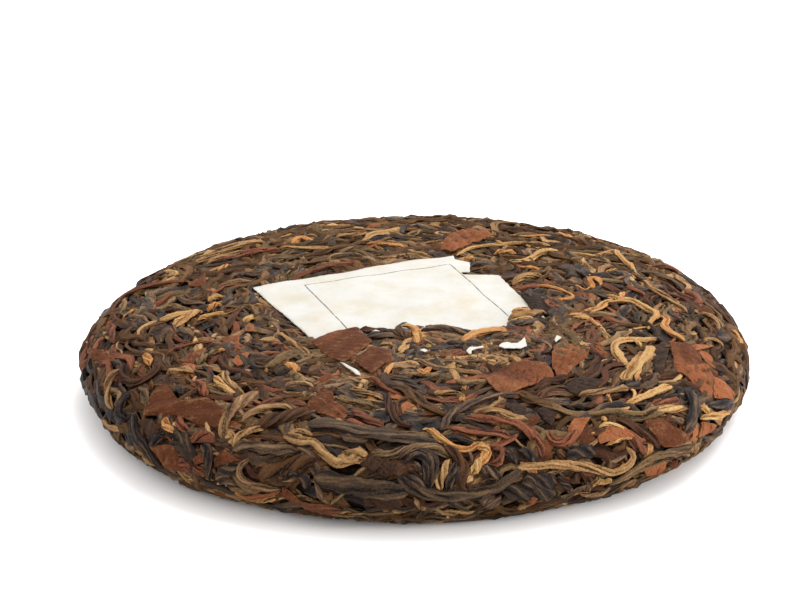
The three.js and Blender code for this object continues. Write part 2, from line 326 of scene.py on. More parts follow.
class Chart:
    """One face of the cake as a flat chart, with the heights of what has been laid on it."""

    CELL = 0.4
    KNEE = 0.8
    PRESS_SLACK = 0.25
    PRESS_GAP = 0.35
    TICKET_BLEND = 3.0
    UNDER_GAP = 0.3
    UNDER_MARGIN = 0.4
    OVER_GAP = 0.2

    def __init__(self, form: CakeForm, side: Side, ticket: TicketForm) -> None:
        """Samples the face's half section and clears its heights.

        Args:
            form: The cake's smooth form.
            side: The face that is charted.
            ticket: The ticket, which presses the leaves under it flat.
        """
        points, foot, lap = form.half_section()
        along = unit(np.gradient(points, axis=0))
        out, up = -along[:, 1], along[:, 0]
        keep = slice(0, foot + 1) if side is Side.UPPER else slice(None, lap, -1)
        self.form, self.side, self.ticket = form, side, ticket
        self.radius, self.height = points[keep, 0], points[keep, 1]
        self.out, self.up = out[keep], up[keep]
        steps = np.hypot(np.diff(self.radius), np.diff(self.height))
        self.distance = np.r_[0, np.cumsum(steps)]
        self.limit = float(self.distance[-1])
        self.press_top = form.leaf_relief + self.PRESS_SLACK if side is Side.UPPER else form.foot_relief
        self.cells = int(2 * self.limit / self.CELL) + 3
        self.heights = np.zeros((self.cells, self.cells))

    def ring(self, points: Array) -> tuple[Array, ...]:
        """Radius, height and outward normal of the core at chart points."""
        away = np.linalg.norm(points, axis=-1)
        return tuple(np.interp(away, self.distance, v) for v in (self.radius, self.height, self.out, self.up))

    def place(self, points: Array, lift: Array) -> Array:
        """Places in space of chart points.

        Args:
            points: Chart points.
            lift: Their lifts over the core.

        Returns:
            The places, never below the floor.
        """
        radius, height, out, up = self.ring(points)
        angle = np.arctan2(points[..., 1], points[..., 0])
        reach = radius + out * (lift + self.form.wave(angle))
        level = np.maximum(height + up * lift, 0)
        return np.stack([reach * np.cos(angle), reach * np.sin(angle), level], -1)

    def normal(self, points: Array) -> Array:
        """Outward normals of the core.

        Args:
            points: Chart points.

        Returns:
            The normals at those points.
        """
        _, _, out, up = self.ring(points)
        angle = np.arctan2(points[..., 1], points[..., 0])
        return np.stack([out * np.cos(angle), out * np.sin(angle), up], -1)

    def press(self, points: Array, lift: Array, over_ticket: bool) -> Array:
        """Lifts after pressing, which leaves the tops of the leaves almost level.

        Args:
            points: Chart points.
            lift: Their lifts before pressing.
            over_ticket: Whether the leaf lies over the ticket and not under it.

        Returns:
            The pressed lifts.
        """
        top = np.full(lift.shape, self.press_top)
        if self.side is Side.UPPER:
            inside = smooth(self.TICKET_BLEND, 0.0, self.ticket.outside(points))
            gap = self.PRESS_GAP
            pressed = self.press_top + gap if over_ticket else self.ticket.lift - gap
            top = top + (pressed - top) * inside
        knee = top - self.KNEE
        return np.where(lift > knee, knee + self.KNEE * np.tanh((lift - knee) / self.KNEE), lift)

    def cap(self, points: Array) -> Array:
        """The highest lift at chart points that stays under the ticket.

        Args:
            points: Chart points.

        Returns:
            Lifts, without end where no ticket lies.
        """
        if self.side is Side.LOWER:
            return np.full(points.shape[:-1], np.inf)
        under = self.ticket.wave(self.ticket.to_ticket(points)) - self.UNDER_GAP
        return np.where(self.ticket.outside(points) < self.UNDER_MARGIN, under, np.inf)

    def paper(self, points: Array) -> Array:
        """The lowest lift at chart points that stays on top of the ticket.

        Args:
            points: Chart points.

        Returns:
            Lifts, 0 where no ticket lies.
        """
        top = self.ticket.wave(self.ticket.to_ticket(points)) + self.OVER_GAP
        return np.where(self.ticket.outside(points) < 0, top, 0.0)

    def cell_of(self, points: Array) -> tuple[Array, Array]:
        """Rows and columns of the heights' cells at chart points."""
        cells = np.clip(((points + self.limit) / self.CELL).astype(int), 0, self.cells - 1)
        return cells[..., 1], cells[..., 0]

    def under(self, points: Array) -> Array:
        """Heights of what has been laid at chart points."""
        return self.heights[self.cell_of(points)]

    def stamp(self, points: Array, heights: Array) -> None:
        """Raises the heights at chart points to what now lies there."""
        np.maximum.at(self.heights, self.cell_of(points), heights)

    def clamp(self, points: Array) -> Array:
        """Chart points kept on the face."""
        away = np.linalg.norm(points, axis=-1, keepdims=True)
        return points * np.minimum(1, self.limit / np.maximum(away, TINY))

    def spread(self, count: int, rng: np.random.Generator) -> Array:
        """Chart places spread evenly over the face's true area, in a random order.

        Args:
            count: How many places.
            rng: The seeded source of random numbers.

        Returns:
            The places.
        """
        area = np.r_[0, np.cumsum(self.radius[1:] * np.diff(self.distance))]
        share = (rng.permutation(count) + rng.random(count)) / count
        away = np.interp(share * area[-1], area, self.distance)
        angle = rng.random(count) * math.tau
        return np.c_[away * np.cos(angle), away * np.sin(angle)]


@dataclass(frozen=True)
class PhotoCamera:
    """The photograph's camera, found from the cake's outline."""

    elevation: float = math.radians(23.5)
    distance: float = 614.0
    focal_pixels: float = 2700.0
    foot_pixel: tuple[float, float] = (414.8, 389.4)
    roll: float = math.radians(0.45)
    frame_pixels: tuple[int, int] = (800, 600)
    sensor: float = 36.0
    search: float = 110.0
    search_step: float = 0.8

    @property
    def lens(self) -> float:
        """Focal length for the sensor's width."""
        return self.focal_pixels * self.sensor / self.frame_pixels[0]

    @property
    def location(self) -> Array:
        """Where the camera stands."""
        return self.distance * np.array([0, -math.cos(self.elevation), math.sin(self.elevation)])

    def axes(self) -> Array:
        """The camera's directions, aimed so that the foot's middle meets its pixel.

        Returns:
            Right, up and forward.
        """
        up = np.array([0, math.sin(self.elevation), math.cos(self.elevation)])
        scale = self.distance / self.focal_pixels
        across = (self.frame_pixels[0] / 2 - self.foot_pixel[0]) * scale
        rise = (self.foot_pixel[1] - self.frame_pixels[1] / 2) * scale
        forward = unit(np.array([across, 0, 0]) + up * rise - self.location)
        right = unit(np.cross(forward, [0, 0, 1]))
        upright = np.cross(right, forward)
        level, tilt = math.cos(self.roll), math.sin(self.roll)
        return np.array([right * level - upright * tilt, upright * level + right * tilt, forward])

    def rays(self, pixels: Array) -> Array:
        """Directions from the camera through pixels of the photograph.

        Args:
            pixels: Pixels, one to a row.

        Returns:
            Directions, one to a row.
        """
        right, up, forward = self.axes()
        offset = (pixels - np.array(self.frame_pixels) / 2) / self.focal_pixels
        return unit(forward + offset[:, :1] * right - offset[:, 1:] * up)

    def on_chart(self, chart: Chart, pixels: Array, lift: float) -> Array:
        """Chart points of the cake that pixels of the photograph show.

        Args:
            chart: The upper face.
            pixels: Pixels, one to a row.
            lift: Lift over the core at which the rays are stopped.

        Returns:
            Chart points, on the outline where a ray passes the cake.
        """
        outline = np.c_[chart.radius + chart.out * lift, chart.height + chart.up * lift]
        along = np.arange(self.distance - self.search, self.distance + self.search, self.search_step)
        found = []
        for ray in self.rays(np.asarray(pixels, float)):
            space = self.location + along[:, None] * ray
            flat = np.c_[np.hypot(space[:, 0], space[:, 1]), space[:, 2]]
            gaps = np.linalg.norm(flat[:, None] - outline[None], axis=2)
            nearest = gaps.argmin(1)
            inward = (flat[:, 0] - outline[nearest, 0]) * chart.out[nearest]
            inward = inward + (flat[:, 1] - outline[nearest, 1]) * chart.up[nearest]
            hits = np.nonzero(inward < 0)[0]
            first = hits[0] if len(hits) else gaps.min(1).argmin()
            heading = unit(space[first, :2])
            found.append(heading * chart.distance[nearest[first]])
        return np.array(found)


class MeshHeap:
    """Many small closed meshes joined into one piece, with their maps and attributes."""

    MARGIN = 0.04

    def __init__(self, name: str, tile_aspect: float) -> None:
        """Starts an empty heap.

        Args:
            name: Name of the piece.
            tile_aspect: Width over height of one member's tile in the map that looks are baked to.
        """
        self.name, self.tile_aspect = name, tile_aspect
        self.members = 0
        self.count = 0
        self.places: list[Array] = []
        self.values: dict[str, list[Array]] = {TONE: [], SHADE: [], RIDGE_AND_SHADE: []}
        self.faces: dict[int, list[Array]] = {4: [], 3: []}
        self.grain: dict[int, list[Array]] = {4: [], 3: []}
        self.tiles: dict[int, list[Array]] = {4: [], 3: []}
        self.owner: dict[int, list[Array]] = {4: [], 3: []}

    def vertices(self, places: Array, tone: float, shade: float, ridge_and_shade: Array) -> int:
        """Adds the vertices of the next member.

        Args:
            places: Places in millimetres.
            tone: The member's hue, from 0 to 1.
            shade: The member's brightness, from 0 to 1.
            ridge_and_shade: How far each vertex stands out of the member, from 0 to 1, lower where painted
                shade falls.

        Returns:
            Index of the member's first vertex.
        """
        first = self.count
        self.places.append(places)
        self.values[TONE].append(np.full(len(places), tone))
        self.values[SHADE].append(np.full(len(places), shade))
        self.values[RIDGE_AND_SHADE].append(ridge_and_shade)
        self.count += len(places)
        self.members += 1
        return first

    def add_faces(self, corners: Array, grain: Array, tile: Array) -> None:
        """Adds faces of the last member.

        Args:
            corners: Vertex indices, one face to a row.
            grain: Place of each corner in the grain map.
            tile: Place of each corner in the member's own tile.
        """
        sides = corners.shape[1]
        self.faces[sides].append(corners)
        self.grain[sides].append(grain)
        self.tiles[sides].append(tile)
        self.owner[sides].append(np.full(len(corners), self.members - 1))

    def atlas(self, tile: Array, owner: Array) -> Array:
        """Places in the whole map that looks are baked to.

        Args:
            tile: Places in the members' own tiles.
            owner: The member that each face belongs to.

        Returns:
            Places in the whole map.
        """
        columns = max(1, math.ceil(math.sqrt(self.members / self.tile_aspect)))
        rows = math.ceil(self.members / columns)
        corner = np.stack([owner % columns, owner // columns], -1)[:, None, :]
        return (corner + self.MARGIN + (1 - 2 * self.MARGIN) * tile) / np.array([columns, rows])

    def build(self) -> bpy.types.Object:
        """Writes the heap as one mesh.

        Returns:
            The piece.
        """
        mesh = bpy.data.meshes.new(self.name)
        corners, grain, bake, totals = [], [], [], []
        for sides in (4, 3):
            if not self.faces[sides]:
                continue
            faces = np.concatenate(self.faces[sides])
            corners.append(faces.ravel())
            totals.append(np.full(len(faces), sides))
            grain.append(np.concatenate(self.grain[sides]).reshape(-1, 2))
            atlas = self.atlas(np.concatenate(self.tiles[sides]), np.concatenate(self.owner[sides]))
            bake.append(atlas.reshape(-1, 2))
        totals = np.concatenate(totals)
        mesh.vertices.add(self.count)
        mesh.vertices.foreach_set("co", (np.concatenate(self.places) * MM).astype(np.float32).ravel())
        mesh.loops.add(int(totals.sum()))
        mesh.loops.foreach_set("vertex_index", np.concatenate(corners).astype(np.int32))
        mesh.polygons.add(len(totals))
        mesh.polygons.foreach_set("loop_start", np.r_[0, np.cumsum(totals)[:-1]].astype(np.int32))
        for name, values in ((GRAIN_MAP, grain), (BAKE_MAP, bake)):
            layer = mesh.uv_layers.new(name=name)
            layer.uv.foreach_set("vector", np.concatenate(values).astype(np.float32).ravel())
        for name, parts in self.values.items():
            attribute = mesh.attributes.new(name, "FLOAT", "POINT")
            attribute.data.foreach_set("value", np.concatenate(parts).astype(np.float32))
        mesh.update(calc_edges=True)
        mesh.shade_smooth()
        return placed(self.name, mesh)


@dataclass(frozen=True)
class LeafHabit:
    """The range of sizes and shapes of one kind of rolled leaf."""

    length: tuple[float, float]
    width: tuple[float, float]
    flatness: tuple[float, float]
    twist: tuple[float, float] = (1.0, 5.0)
    folds: tuple[int, int] = (2, 5)
    fold_depth: float = 0.42
    taper: float = 0.3
    lumps: float = 0.2
    sway: float = 0.6
    bend: float = 0.9
    hook_share: float = 0.15
    crumple: float = 0.35
    jitter: float = 0.16


HABITS = {
    BLACK: LeafHabit((8, 26), (1.4, 3.2), (0.4, 0.7)),
    BROWN: LeafHabit((8, 26), (1.3, 3.2), (0.35, 0.7)),
    OLIVE: LeafHabit((8, 26), (1.2, 2.7), (0.4, 0.75)),
    TAN: LeafHabit((7, 20), (1.1, 2.3), (0.45, 0.75)),
    GOLD: LeafHabit((5, 15), (0.9, 1.9), (0.5, 0.75), fold_depth=0.32, taper=0.4, hook_share=0.35),
    RED: LeafHabit((7, 22), (1.1, 2.8), (0.3, 0.6), fold_depth=0.34),
    STEM: LeafHabit((12, 26), (0.8, 1.5), (0.8, 0.95), (0.2, 0.8), (2, 4), 0.16, 0.12, 0.05, 0.15, 0.4, 0),
    CRUMB: LeafHabit((2, 6), (0.8, 2.0), (0.4, 0.8), (0.2, 1.5), (2, 4), 0.3, 0.25, 0.1, 0.3, 0.9, 0),
}
SHREDS = LeafHabit((6, 15), (1.5, 3.4), (0.22, 0.45), (0.0, 1.6), (3, 6), 0.4, 0.2, 0.16, 0.4, 0.8, 0.1)
FILLERS = LeafHabit((9, 20), (1.1, 2.4), (0.35, 0.6), (0.5, 3.0), (3, 5), 0.4, 0.3, 0.16, 0.5, 0.8, 0.1)
THREADS = LeafHabit((8, 24), (0.45, 0.95), (0.6, 0.9), (0.5, 3.0), (2, 4), 0.3, 0.2, 0.1, 0.5, 1.0, 0.1)
# How a leaf that is traced from the photograph differs from its kind.
TRACED_SHAPE = {"folds": (3, 6), "fold_depth": 0.5, "crumple": 0.1, "jitter": 0.08, "lumps": 0.1}


@dataclass
class LeafLayer:
    """Lays rolled leaves and torn flakes on a chart and adds them to the heaps of their kinds."""

    chart: Chart
    heaps: dict[Kind, MeshHeap]
    rng: np.random.Generator
    sides: int = 12
    station_gap: float = 1.0
    # How far leaves lean to their lighter hue at the back and the foot, as painted light.
    painted_light_lean: float = 0.45
    red_back: float = 14.0
    red_reach: float = 76.0
    black_back: float = 25.0

    # Where the lighter hue is painted: at the back partly more golden leaves, partly painted light; at the
    # foot painted light.
    BACK_GOLD_AND_LIGHT = (-10, 60)
    FOOT_PAINTED_LIGHT = (76, 86)
    FLOOR_GAP = 0.25
    GOLDEN = 0.618
    NEAR_MIDDLE = 1e-3
    FEWEST_STATIONS = 5
    FEWEST_STEPS = 6
    FEWEST_POINTS = 4
    CURVE_STEPS = 24
    SWAY_TURNS = (0.7, 1.8)
    HOOK_TURN = (1.4, 3.0)
    HOOK_SPAN = (0.15, 0.5)
    BEARING = 0.35
    LEVELLING = 7
    SINK = 0.4
    FOLD_SHIFT = 0.28
    FOLD_SWAYS = (0.5, 1.8)
    FOLD_DRIFT = 0.35
    FOLD_MIDDLE = 0.55
    FOLD_NOISE = 0.1
    FULL_FOLD_WIDTH = 2
    BLUNTNESS = (0.3, 1.3)
    TIP_WIDTH = 0.25
    LUMP_RANGE = (0.6, 1.5)
    DIVE_SPAN = (0.7, 1.0)
    PAPER_CLEAR = 0.2
    # Painted shade on a leaf's underside: its ridge value there, and the rise over which it climbs back on
    # the lit side.
    UNDERSIDE_SHADE = 0.45
    LIT_SIDE_SPAN = (-0.1, 0.85)
    TIP_RIDGE = 0.5
    LEAST_SIDES = 4
    SIDES_PER_MM = 3
    FEWEST_SIDES = 6
    GIRTH = 2.4
    GRAIN_SPAN = 400
    FAN_INSET = 0.02
    TILE_SLACK = 0.03
    STAMP_FINER = 4
    STAMP_REACH = 0.95
    STAMP_LANES = 9
    RIM_SPAN = (0.25, 0.95)
    LOOSE_HEADING = 1.1
    RIM_HEADING = 0.36
    BARE_MARGIN = 0.8
    COVER_MARGIN = 0.6
    DEEPEST_UNDER = 3
    BUNDLE_LENGTH = (14, 30)
    BUNDLE_STATIONS = 10
    BUNDLE_LEAVES = (3, 6)
    BUNDLE_PITCH = (1.1, 1.8)
    BUNDLE_CLOSING = (0.0, 0.6)
    BUNDLE_WANDER = 0.3
    BUNDLE_WAVES = 3
    BUNDLE_TRIM = 4
    BUNDLE_WIDTH = (0.8, 1.25)
    BUNDLE_DIVE = 0.7
    GAP_STEP = 1.5
    GAP_RIM = 1
    GAP_TICKET = 1.5
    GAP_REACH = 0.5
    GAP_DROPS = (1.0, 0.6)
    GAP_DIVE = 0.4
    RAGGED = 0.035
    ROUNDING = 0.25
    TEAR_OWN = 0.6
    TEAR_NEAR = 0.5
    CURL_POWER = 3
    DROOP_POWER = 8
    PHASES = 6
    CRINKLES = ((1.0, 0.9), (0.6, 1.8), (0.4, 3.0))
    BED_QUANTILE = 0.7
    BED_GAP = 0.2
    CREASE_SHIFT = 0.6
    CREASE_RISE = 0.4
    MOST_DROOP = 0.25
    DROOP_SHARE = 0.05
    CALM = 0.4
    MOST_SWELL = 0.2
    SWELL_SHARE = 0.035
    CRINKLE_SHADE = 0.18
    RIM_RIDGE = 0.3
    RIM_REACH = 0.97
    STAMP_INNER = (0.3, 0.6)
    FLAKE_PROUD = 0.1
    FLAKE_CORNERS = (5, 9)
    FLAKE_TURN = 0.3
    FLAKE_REACH = (0.7, 1.15)
    FLAKE_BREADTH = (0.45, 0.85)
    FLAKE_CLEAR = 1.0
    FLAKE_THICKNESS = 0.25
    FLAKE_CREASE = (0, 0.7)
    FLAKE_CURL = (-0.4, 0.4)
    FLAKE_RINGS = 4
    FLAKE_AROUND = 22
    FLAKE_TILE = 3.2

    def tone_at(self, point: Array) -> float:
        """A random hue for a leaf, yellower and mostly lighter towards the back of the upper face and at its
        foot: painted light, and at the back partly more golden leaves too.
        """
        painted_light_lean = max(smooth(*self.BACK_GOLD_AND_LIGHT, point[1]), smooth(*self.FOOT_PAINTED_LIGHT, np.linalg.norm(point)))
        return min(1.0, float(self.rng.random() + self.painted_light_lean * painted_light_lean * (self.chart.side is Side.UPPER)))

    def kind_at(self, kind: Kind, middle: Array) -> Kind:
        """The kind that lies at a place: no red at the back or the foot, and less black at the back.

        Args:
            kind: The kind that was drawn.
            middle: Where the leaf's middle lies.

        Returns:
            The kind that is laid.
        """
        if self.chart.side is Side.LOWER:
            return kind
        if kind is RED and middle[1] > self.red_back:
            return TAN
        if kind is RED and np.linalg.norm(middle) > self.red_reach:
            return BLACK
        if kind is BLACK and middle[1] > self.black_back and self.heaps[kind].members % 2:
            return BROWN
        return kind

    def footing(self) -> float:
        """The least height of the next leaf over the floor, so that no two leaves lie in one plane there."""
        laid = sum(heap.members for heap in self.heaps.values())
        return self.FLOOR_GAP * (laid * self.GOLDEN % 1)

    def between(self, limits: tuple[float, float]) -> float:
        """A random number between two limits."""
        return float(limits[0] + (limits[1] - limits[0]) * self.rng.random())

    def either_way(self) -> int:
        """One way or the other, at random."""
        return 1 if self.rng.random() < 0.5 else -1

    def wandering_route(self, middle: Array, heading: float, length: float, habit: LeafHabit) -> Array:
        """Chart points of a leaf that bends, sways and may end in a hook.

        Args:
            middle: Where the leaf's middle lies.
            heading: Direction of its middle.
            length: Its length.
            habit: How much its kind bends.

        Returns:
            Evenly spaced chart points.
        """
        count = max(self.FEWEST_STATIONS, int(length / self.station_gap))
        share = np.linspace(-0.5, 0.5, count)
        phase = self.rng.random() * math.tau
        turn = heading + self.rng.normal(0, habit.bend) * share
        turn = turn + habit.sway * np.sin(math.tau * share * self.between(self.SWAY_TURNS) + phase)
        if self.rng.random() < habit.hook_share:
            hook = self.between(self.HOOK_TURN) * self.either_way()
            turn = turn + hook * smooth(*self.HOOK_SPAN, share)
        steps = np.c_[np.cos(turn), np.sin(turn)] * (length / (count - 1))
        points = np.cumsum(steps, axis=0)
        points = points - points[count // 2]
        away = max(np.linalg.norm(middle), self.NEAR_MIDDLE)
        outward = middle / away
        across = np.array([-outward[1], outward[0]])
        tighter = away / max(float(self.chart.ring(middle[None])[0][0]), 1.0) if away > 1 else 1.0
        local = np.c_[points @ outward, points @ across * tighter]
        route = middle + local[:, :1] * outward + local[:, 1:] * across
        beyond = np.nonzero(np.linalg.norm(route, axis=1) > self.chart.limit)[0]
        first = max(beyond[beyond < count // 2], default=-1) + 1
        last = min(beyond[beyond > count // 2], default=count)
        return route[first:last]

    def even_route(self, points: Array, gap: float) -> Array:
        """A smooth route through given points, with even steps.

        Args:
            points: Chart points that the route runs through.
            gap: Length of a step.

        Returns:
            Chart points of the route.
        """
        padded = np.r_[[2 * points[0] - points[1]], points, [2 * points[-1] - points[-2]]]
        t = np.linspace(0, 1, self.CURVE_STEPS, endpoint=False)[:, None]
        fine = []
        for a, b, c, d in zip(padded, padded[1:], padded[2:], padded[3:]):
            cubic = 2 * b + (c - a) * t + (2 * a - 5 * b + 4 * c - d) * t**2 + (3 * b - a - 3 * c + d) * t**3
            fine.append(cubic / 2)
        fine = np.concatenate([*fine, points[-1:]])
        run = run_along(fine)
        even = np.linspace(0, run[-1], max(self.FEWEST_STEPS, int(run[-1] / gap)))
        return resampled(even, run, fine)

    def rest(self, route: Array, width: float, thickness: float, highest: float) -> Array:
        """Lift of a leaf's middle line as it lies on what is already there.

        Args:
            route: Chart points of the leaf.
            width: Its width.
            thickness: Its thickness.
            highest: The most that its middle line may be lifted.

        Returns:
            Lifts, one for each point.
        """
        across = across_of(route)
        offsets = np.array([-self.BEARING, 0, self.BEARING]) * width
        under = self.chart.under(route[:, None] + across[:, None] * offsets[None, :, None]).max(1)
        padded = np.pad(under, self.LEVELLING // 2, mode="edge")
        level = np.convolve(padded, np.ones(self.LEVELLING) / self.LEVELLING, mode="valid")
        return np.minimum(level + self.SINK * thickness, highest)

    def folds(self, corner: Array, share: Array, habit: LeafHabit) -> Array:
        """How far each corner of a leaf's sections lies from the crest of a fold.

        Args:
            corner: Angles of the corners of a section.
            share: Share of the leaf's length at each section.
            habit: How its kind folds.

        Returns:
            Sections by corners, 0 on a crest and 1 in a groove.
        """
        rng = self.rng
        count = int(rng.integers(*habit.folds))
        shift = rng.uniform(-self.FOLD_SHIFT, self.FOLD_SHIFT, count)
        start = (np.arange(count) + shift) * math.tau / count
        sway = np.sin(math.tau * (share * self.between(self.FOLD_SWAYS) + rng.random((count, 1))))
        crest = start[:, None] + rng.normal(0, self.FOLD_DRIFT, (count, 1)) * sway
        gap = np.abs((corner - crest[..., None] + math.pi) % math.tau - math.pi).min(0)
        return np.minimum(gap * count / math.pi, 1)

    def taper(self, share: Array, habit: LeafHabit) -> Array:
        """Width of a leaf along its length, with lumps.

        Args:
            share: Share of the leaf's length at each section.
            habit: How its kind tapers.

        Returns:
            Shares of its full width.
        """
        blunt = self.between(self.BLUNTNESS) * habit.taper
        body = self.TIP_WIDTH + (1 - self.TIP_WIDTH) * np.clip(4 * share * (1 - share), 0, 1) ** blunt
        lumps = np.convolve(self.rng.normal(0, 1, len(share) + 2), np.ones(3) / math.sqrt(3), mode="valid")
        return body * np.clip(1 + habit.lumps * lumps, *self.LUMP_RANGE)

    def corners_for(self, width: float) -> int:
        """Corners of a leaf's section, more on a wider leaf."""
        wanted = round(self.LEAST_SIDES + self.SIDES_PER_MM * width)
        return int(np.clip(wanted, self.FEWEST_SIDES, self.sides))

    def rolled_leaf(
        self, kind: Kind, route: Array, width: float, highest: float, dive: float, over_ticket: bool,
        tone: float | None = None, flatness: float | None = None, sides: int | None = None,
        habit: LeafHabit | None = None, proud: float = 0.0, shade: float | None = None,
    ) -> None:
        """Lays one rolled leaf: a twisted, tapered bar with long folds, pressed level with the others.

        Args:
            kind: The leaf's kind.
            route: Its chart points.
            width: Its width.
            highest: The most that its middle line may be lifted.
            dive: How far its ends go down between the other leaves.
            over_ticket: Whether it lies over the ticket.
            tone: Its hue, random where none is given.
            flatness: Its thickness over its width, from its kind's range where none is given.
            sides: Corners of its section.
            habit: Its shape, its kind's where none is given.
            proud: How far it may stand over the level to which leaves are pressed.
            shade: Its lightness, random where none is given.
        """
        habit = habit or HABITS[kind]
        heap, chart, rng = self.heaps[kind], self.chart, self.rng
        shake = rng.normal(0, habit.jitter, (len(route) + 2, 2))
        route = chart.clamp(route + (shake[:-2] + shake[1:-1] + shake[2:]) / math.sqrt(3))
        sides = sides or self.corners_for(width)
        count = len(route)
        share = np.linspace(0, 1, count)
        thickness = width * (flatness or self.between(habit.flatness))
        taper = self.taper(share, habit)[:, None]
        lift = self.rest(route, width, thickness, highest)
        lift = lift - dive * smooth(*self.DIVE_SPAN, np.abs(2 * share - 1))
        corner = math.tau * np.arange(sides) / sides
        groove = self.folds(corner, share, habit)
        depth = habit.fold_depth * min(1, width / self.FULL_FOLD_WIDTH)
        relief = depth * (1 - groove**2 - self.FOLD_MIDDLE + rng.normal(0, self.FOLD_NOISE, sides))
        relief = relief + depth * rng.normal(0, habit.crumple, groove.shape)
        twist = self.between(habit.twist) * self.either_way()
        turn = corner + rng.random() * math.tau + twist * share[:, None]
        rise = np.sin(turn)
        aside = np.cos(turn) * taper * (width / 2 + relief)
        above = rise * taper * thickness / 2
        foot = chart.place(route, np.zeros(count))
        normal = chart.normal(route)
        along = unit(np.gradient(chart.place(route, lift), axis=0))
        side = unit(np.cross(along, normal))
        across = across_of(route) * -chart.side.value
        beside = route[:, None] + across[:, None] * aside[..., None]
        pressed = chart.press(beside, lift[:, None] + above - proud, over_ticket) + proud
        pressed = pressed + rise * taper * relief
        if over_ticket:
            pressed = np.maximum(pressed, chart.paper(beside) + self.PAPER_CLEAR * taper * (1 + rise))
        else:
            pressed = np.minimum(pressed, chart.cap(beside))
        places = foot[:, None] + side[:, None] * aside[..., None] + normal[:, None] * pressed[..., None]
        places[..., 2] = np.maximum(places[..., 2], self.footing())
        tips = places[[0, -1]].mean(1)
        crests = 0.5 + 0.5 * np.cos(math.pi * groove)
        # Painted shade: the side of the leaf that faces down into the cake gets a lower ridge value, so it
        # takes the darker colours.
        crests = crests * (self.UNDERSIDE_SHADE + (1 - self.UNDERSIDE_SHADE) * smooth(*self.LIT_SIDE_SPAN, rise))
        first = heap.vertices(
            np.r_[places.reshape(-1, 3), tips],
            self.tone_at(route[count // 2]) if tone is None else tone,
            rng.random() if shade is None else shade,
            np.r_[crests.ravel(), [self.TIP_RIDGE] * 2],
        )
        length = float(np.linalg.norm(np.diff(route, axis=0), axis=1).sum())
        self.bar_faces(heap, first, count, sides, length, width * self.GIRTH)
        tops = chart.press(route, lift + taper[:, 0] * thickness / 2 - proud, over_ticket) + proud
        self.stamp_route(route, across, width * taper[:, 0], tops, thickness)

    def bar_faces(
        self, heap: MeshHeap, first: int, count: int, sides: int, length: float, girth: float
    ) -> None:
        """Adds the faces of a bar: its sides, and a fan over each end.

        Args:
            heap: The heap that holds the bar.
            first: Index of its first vertex.
            count: How many rings it has.
            sides: How many corners a ring has.
            length: Its length, for the grain.
            girth: Its girth, for the grain.
        """
        offset = self.rng.random(2) * self.GRAIN_SPAN
        ring, corner = np.meshgrid(np.arange(count - 1), np.arange(sides), indexing="ij")
        ring, corner = ring.ravel(), corner.ravel()
        beyond = (corner + 1) % sides
        here, there = ring * sides, (ring + 1) * sides
        corners = np.stack([here + corner, there + corner, there + beyond, here + beyond], -1)
        along = np.stack([ring, ring + 1, ring + 1, ring], -1) / (count - 1)
        around = np.stack([corner, corner, corner + 1, corner + 1], -1) / sides
        size = np.array([length, girth])
        tile = np.stack([along, around], -1)
        heap.add_faces(corners + first, tile * size + offset, tile)
        corner = np.arange(sides)
        beyond = (corner + 1) % sides
        start, end = count * sides, count * sides + 1
        last = (count - 1) * sides
        near = np.stack([np.full(sides, start), corner, beyond], -1)
        far = np.stack([np.full(sides, end), last + beyond, last + corner], -1)
        for fan, at, order in ((near, 0.0, (0.5, 0, 1)), (far, 1.0, (0.5, 1, 0))):
            around = (corner[:, None] + np.array(order)[None]) / sides
            inset = np.array([self.FAN_INSET * (1 - 2 * at), 0, 0])
            tile = np.stack([np.broadcast_to(at - inset, around.shape), around], -1)
            within = np.clip(tile, -self.TILE_SLACK, 1 + self.TILE_SLACK)
            heap.add_faces(fan + first, tile * size + offset, within)

    def stamp_route(
        self, route: Array, across: Array, widths: Array, tops: Array, thickness: float
    ) -> None:
        """Marks the heights that a laid leaf now takes up.

        Args:
            route: Its chart points.
            across: The direction across it at each point.
            widths: Its width at each point.
            tops: Its top at each point.
            thickness: Its thickness.
        """
        finer = np.linspace(0, len(route) - 1, self.STAMP_FINER * len(route))
        index = np.arange(len(route))
        dense, side = resampled(finer, index, route), resampled(finer, index, across)
        half = np.interp(finer, index, widths)[:, None] / 2
        top = np.interp(finer, index, tops)[:, None]
        offsets = np.linspace(-self.STAMP_REACH, self.STAMP_REACH, self.STAMP_LANES)[None]
        points = dense[:, None] + side[:, None] * (half * offsets)[..., None]
        self.chart.stamp(points, top - 0.5 * thickness * (1 - np.sqrt(1 - offsets**2)))

    def torn_rim(self, outline: Array, around: int) -> tuple[Array, Array]:
        """Rounds and tears the outline of a flake.

        Args:
            outline: Chart points of its corners.
            around: Corners round its torn rim.

        Returns:
            Its middle, and the arms from there to its rim, in the order that faces it outwards.
        """
        closed = np.r_[outline, outline[:1]]
        run = run_along(closed)
        extra = around - len(outline)
        between = (np.arange(extra) + 0.5) * run[-1] / extra
        rim = resampled(np.sort(np.r_[run[:-1], between]), run, closed)
        either = np.roll(rim, 1, 0) + np.roll(rim, -1, 0)
        rim = (1 - 2 * self.ROUNDING) * rim + self.ROUNDING * either
        middle = rim.mean(0)
        arm = rim - middle
        beyond = np.roll(arm, -1, 0)
        backward = np.sum(arm[:, 0] * beyond[:, 1] - arm[:, 1] * beyond[:, 0]) < 0
        if backward != (self.chart.side is Side.LOWER):
            arm = arm[::-1]
        torn = self.rng.normal(0, self.RAGGED, around)
        near = np.roll(torn, 1) + np.roll(torn, 2) + np.roll(torn, 3)
        torn = self.TEAR_OWN * torn + self.TEAR_NEAR * near
        return middle, arm * (1 + torn[:, None])

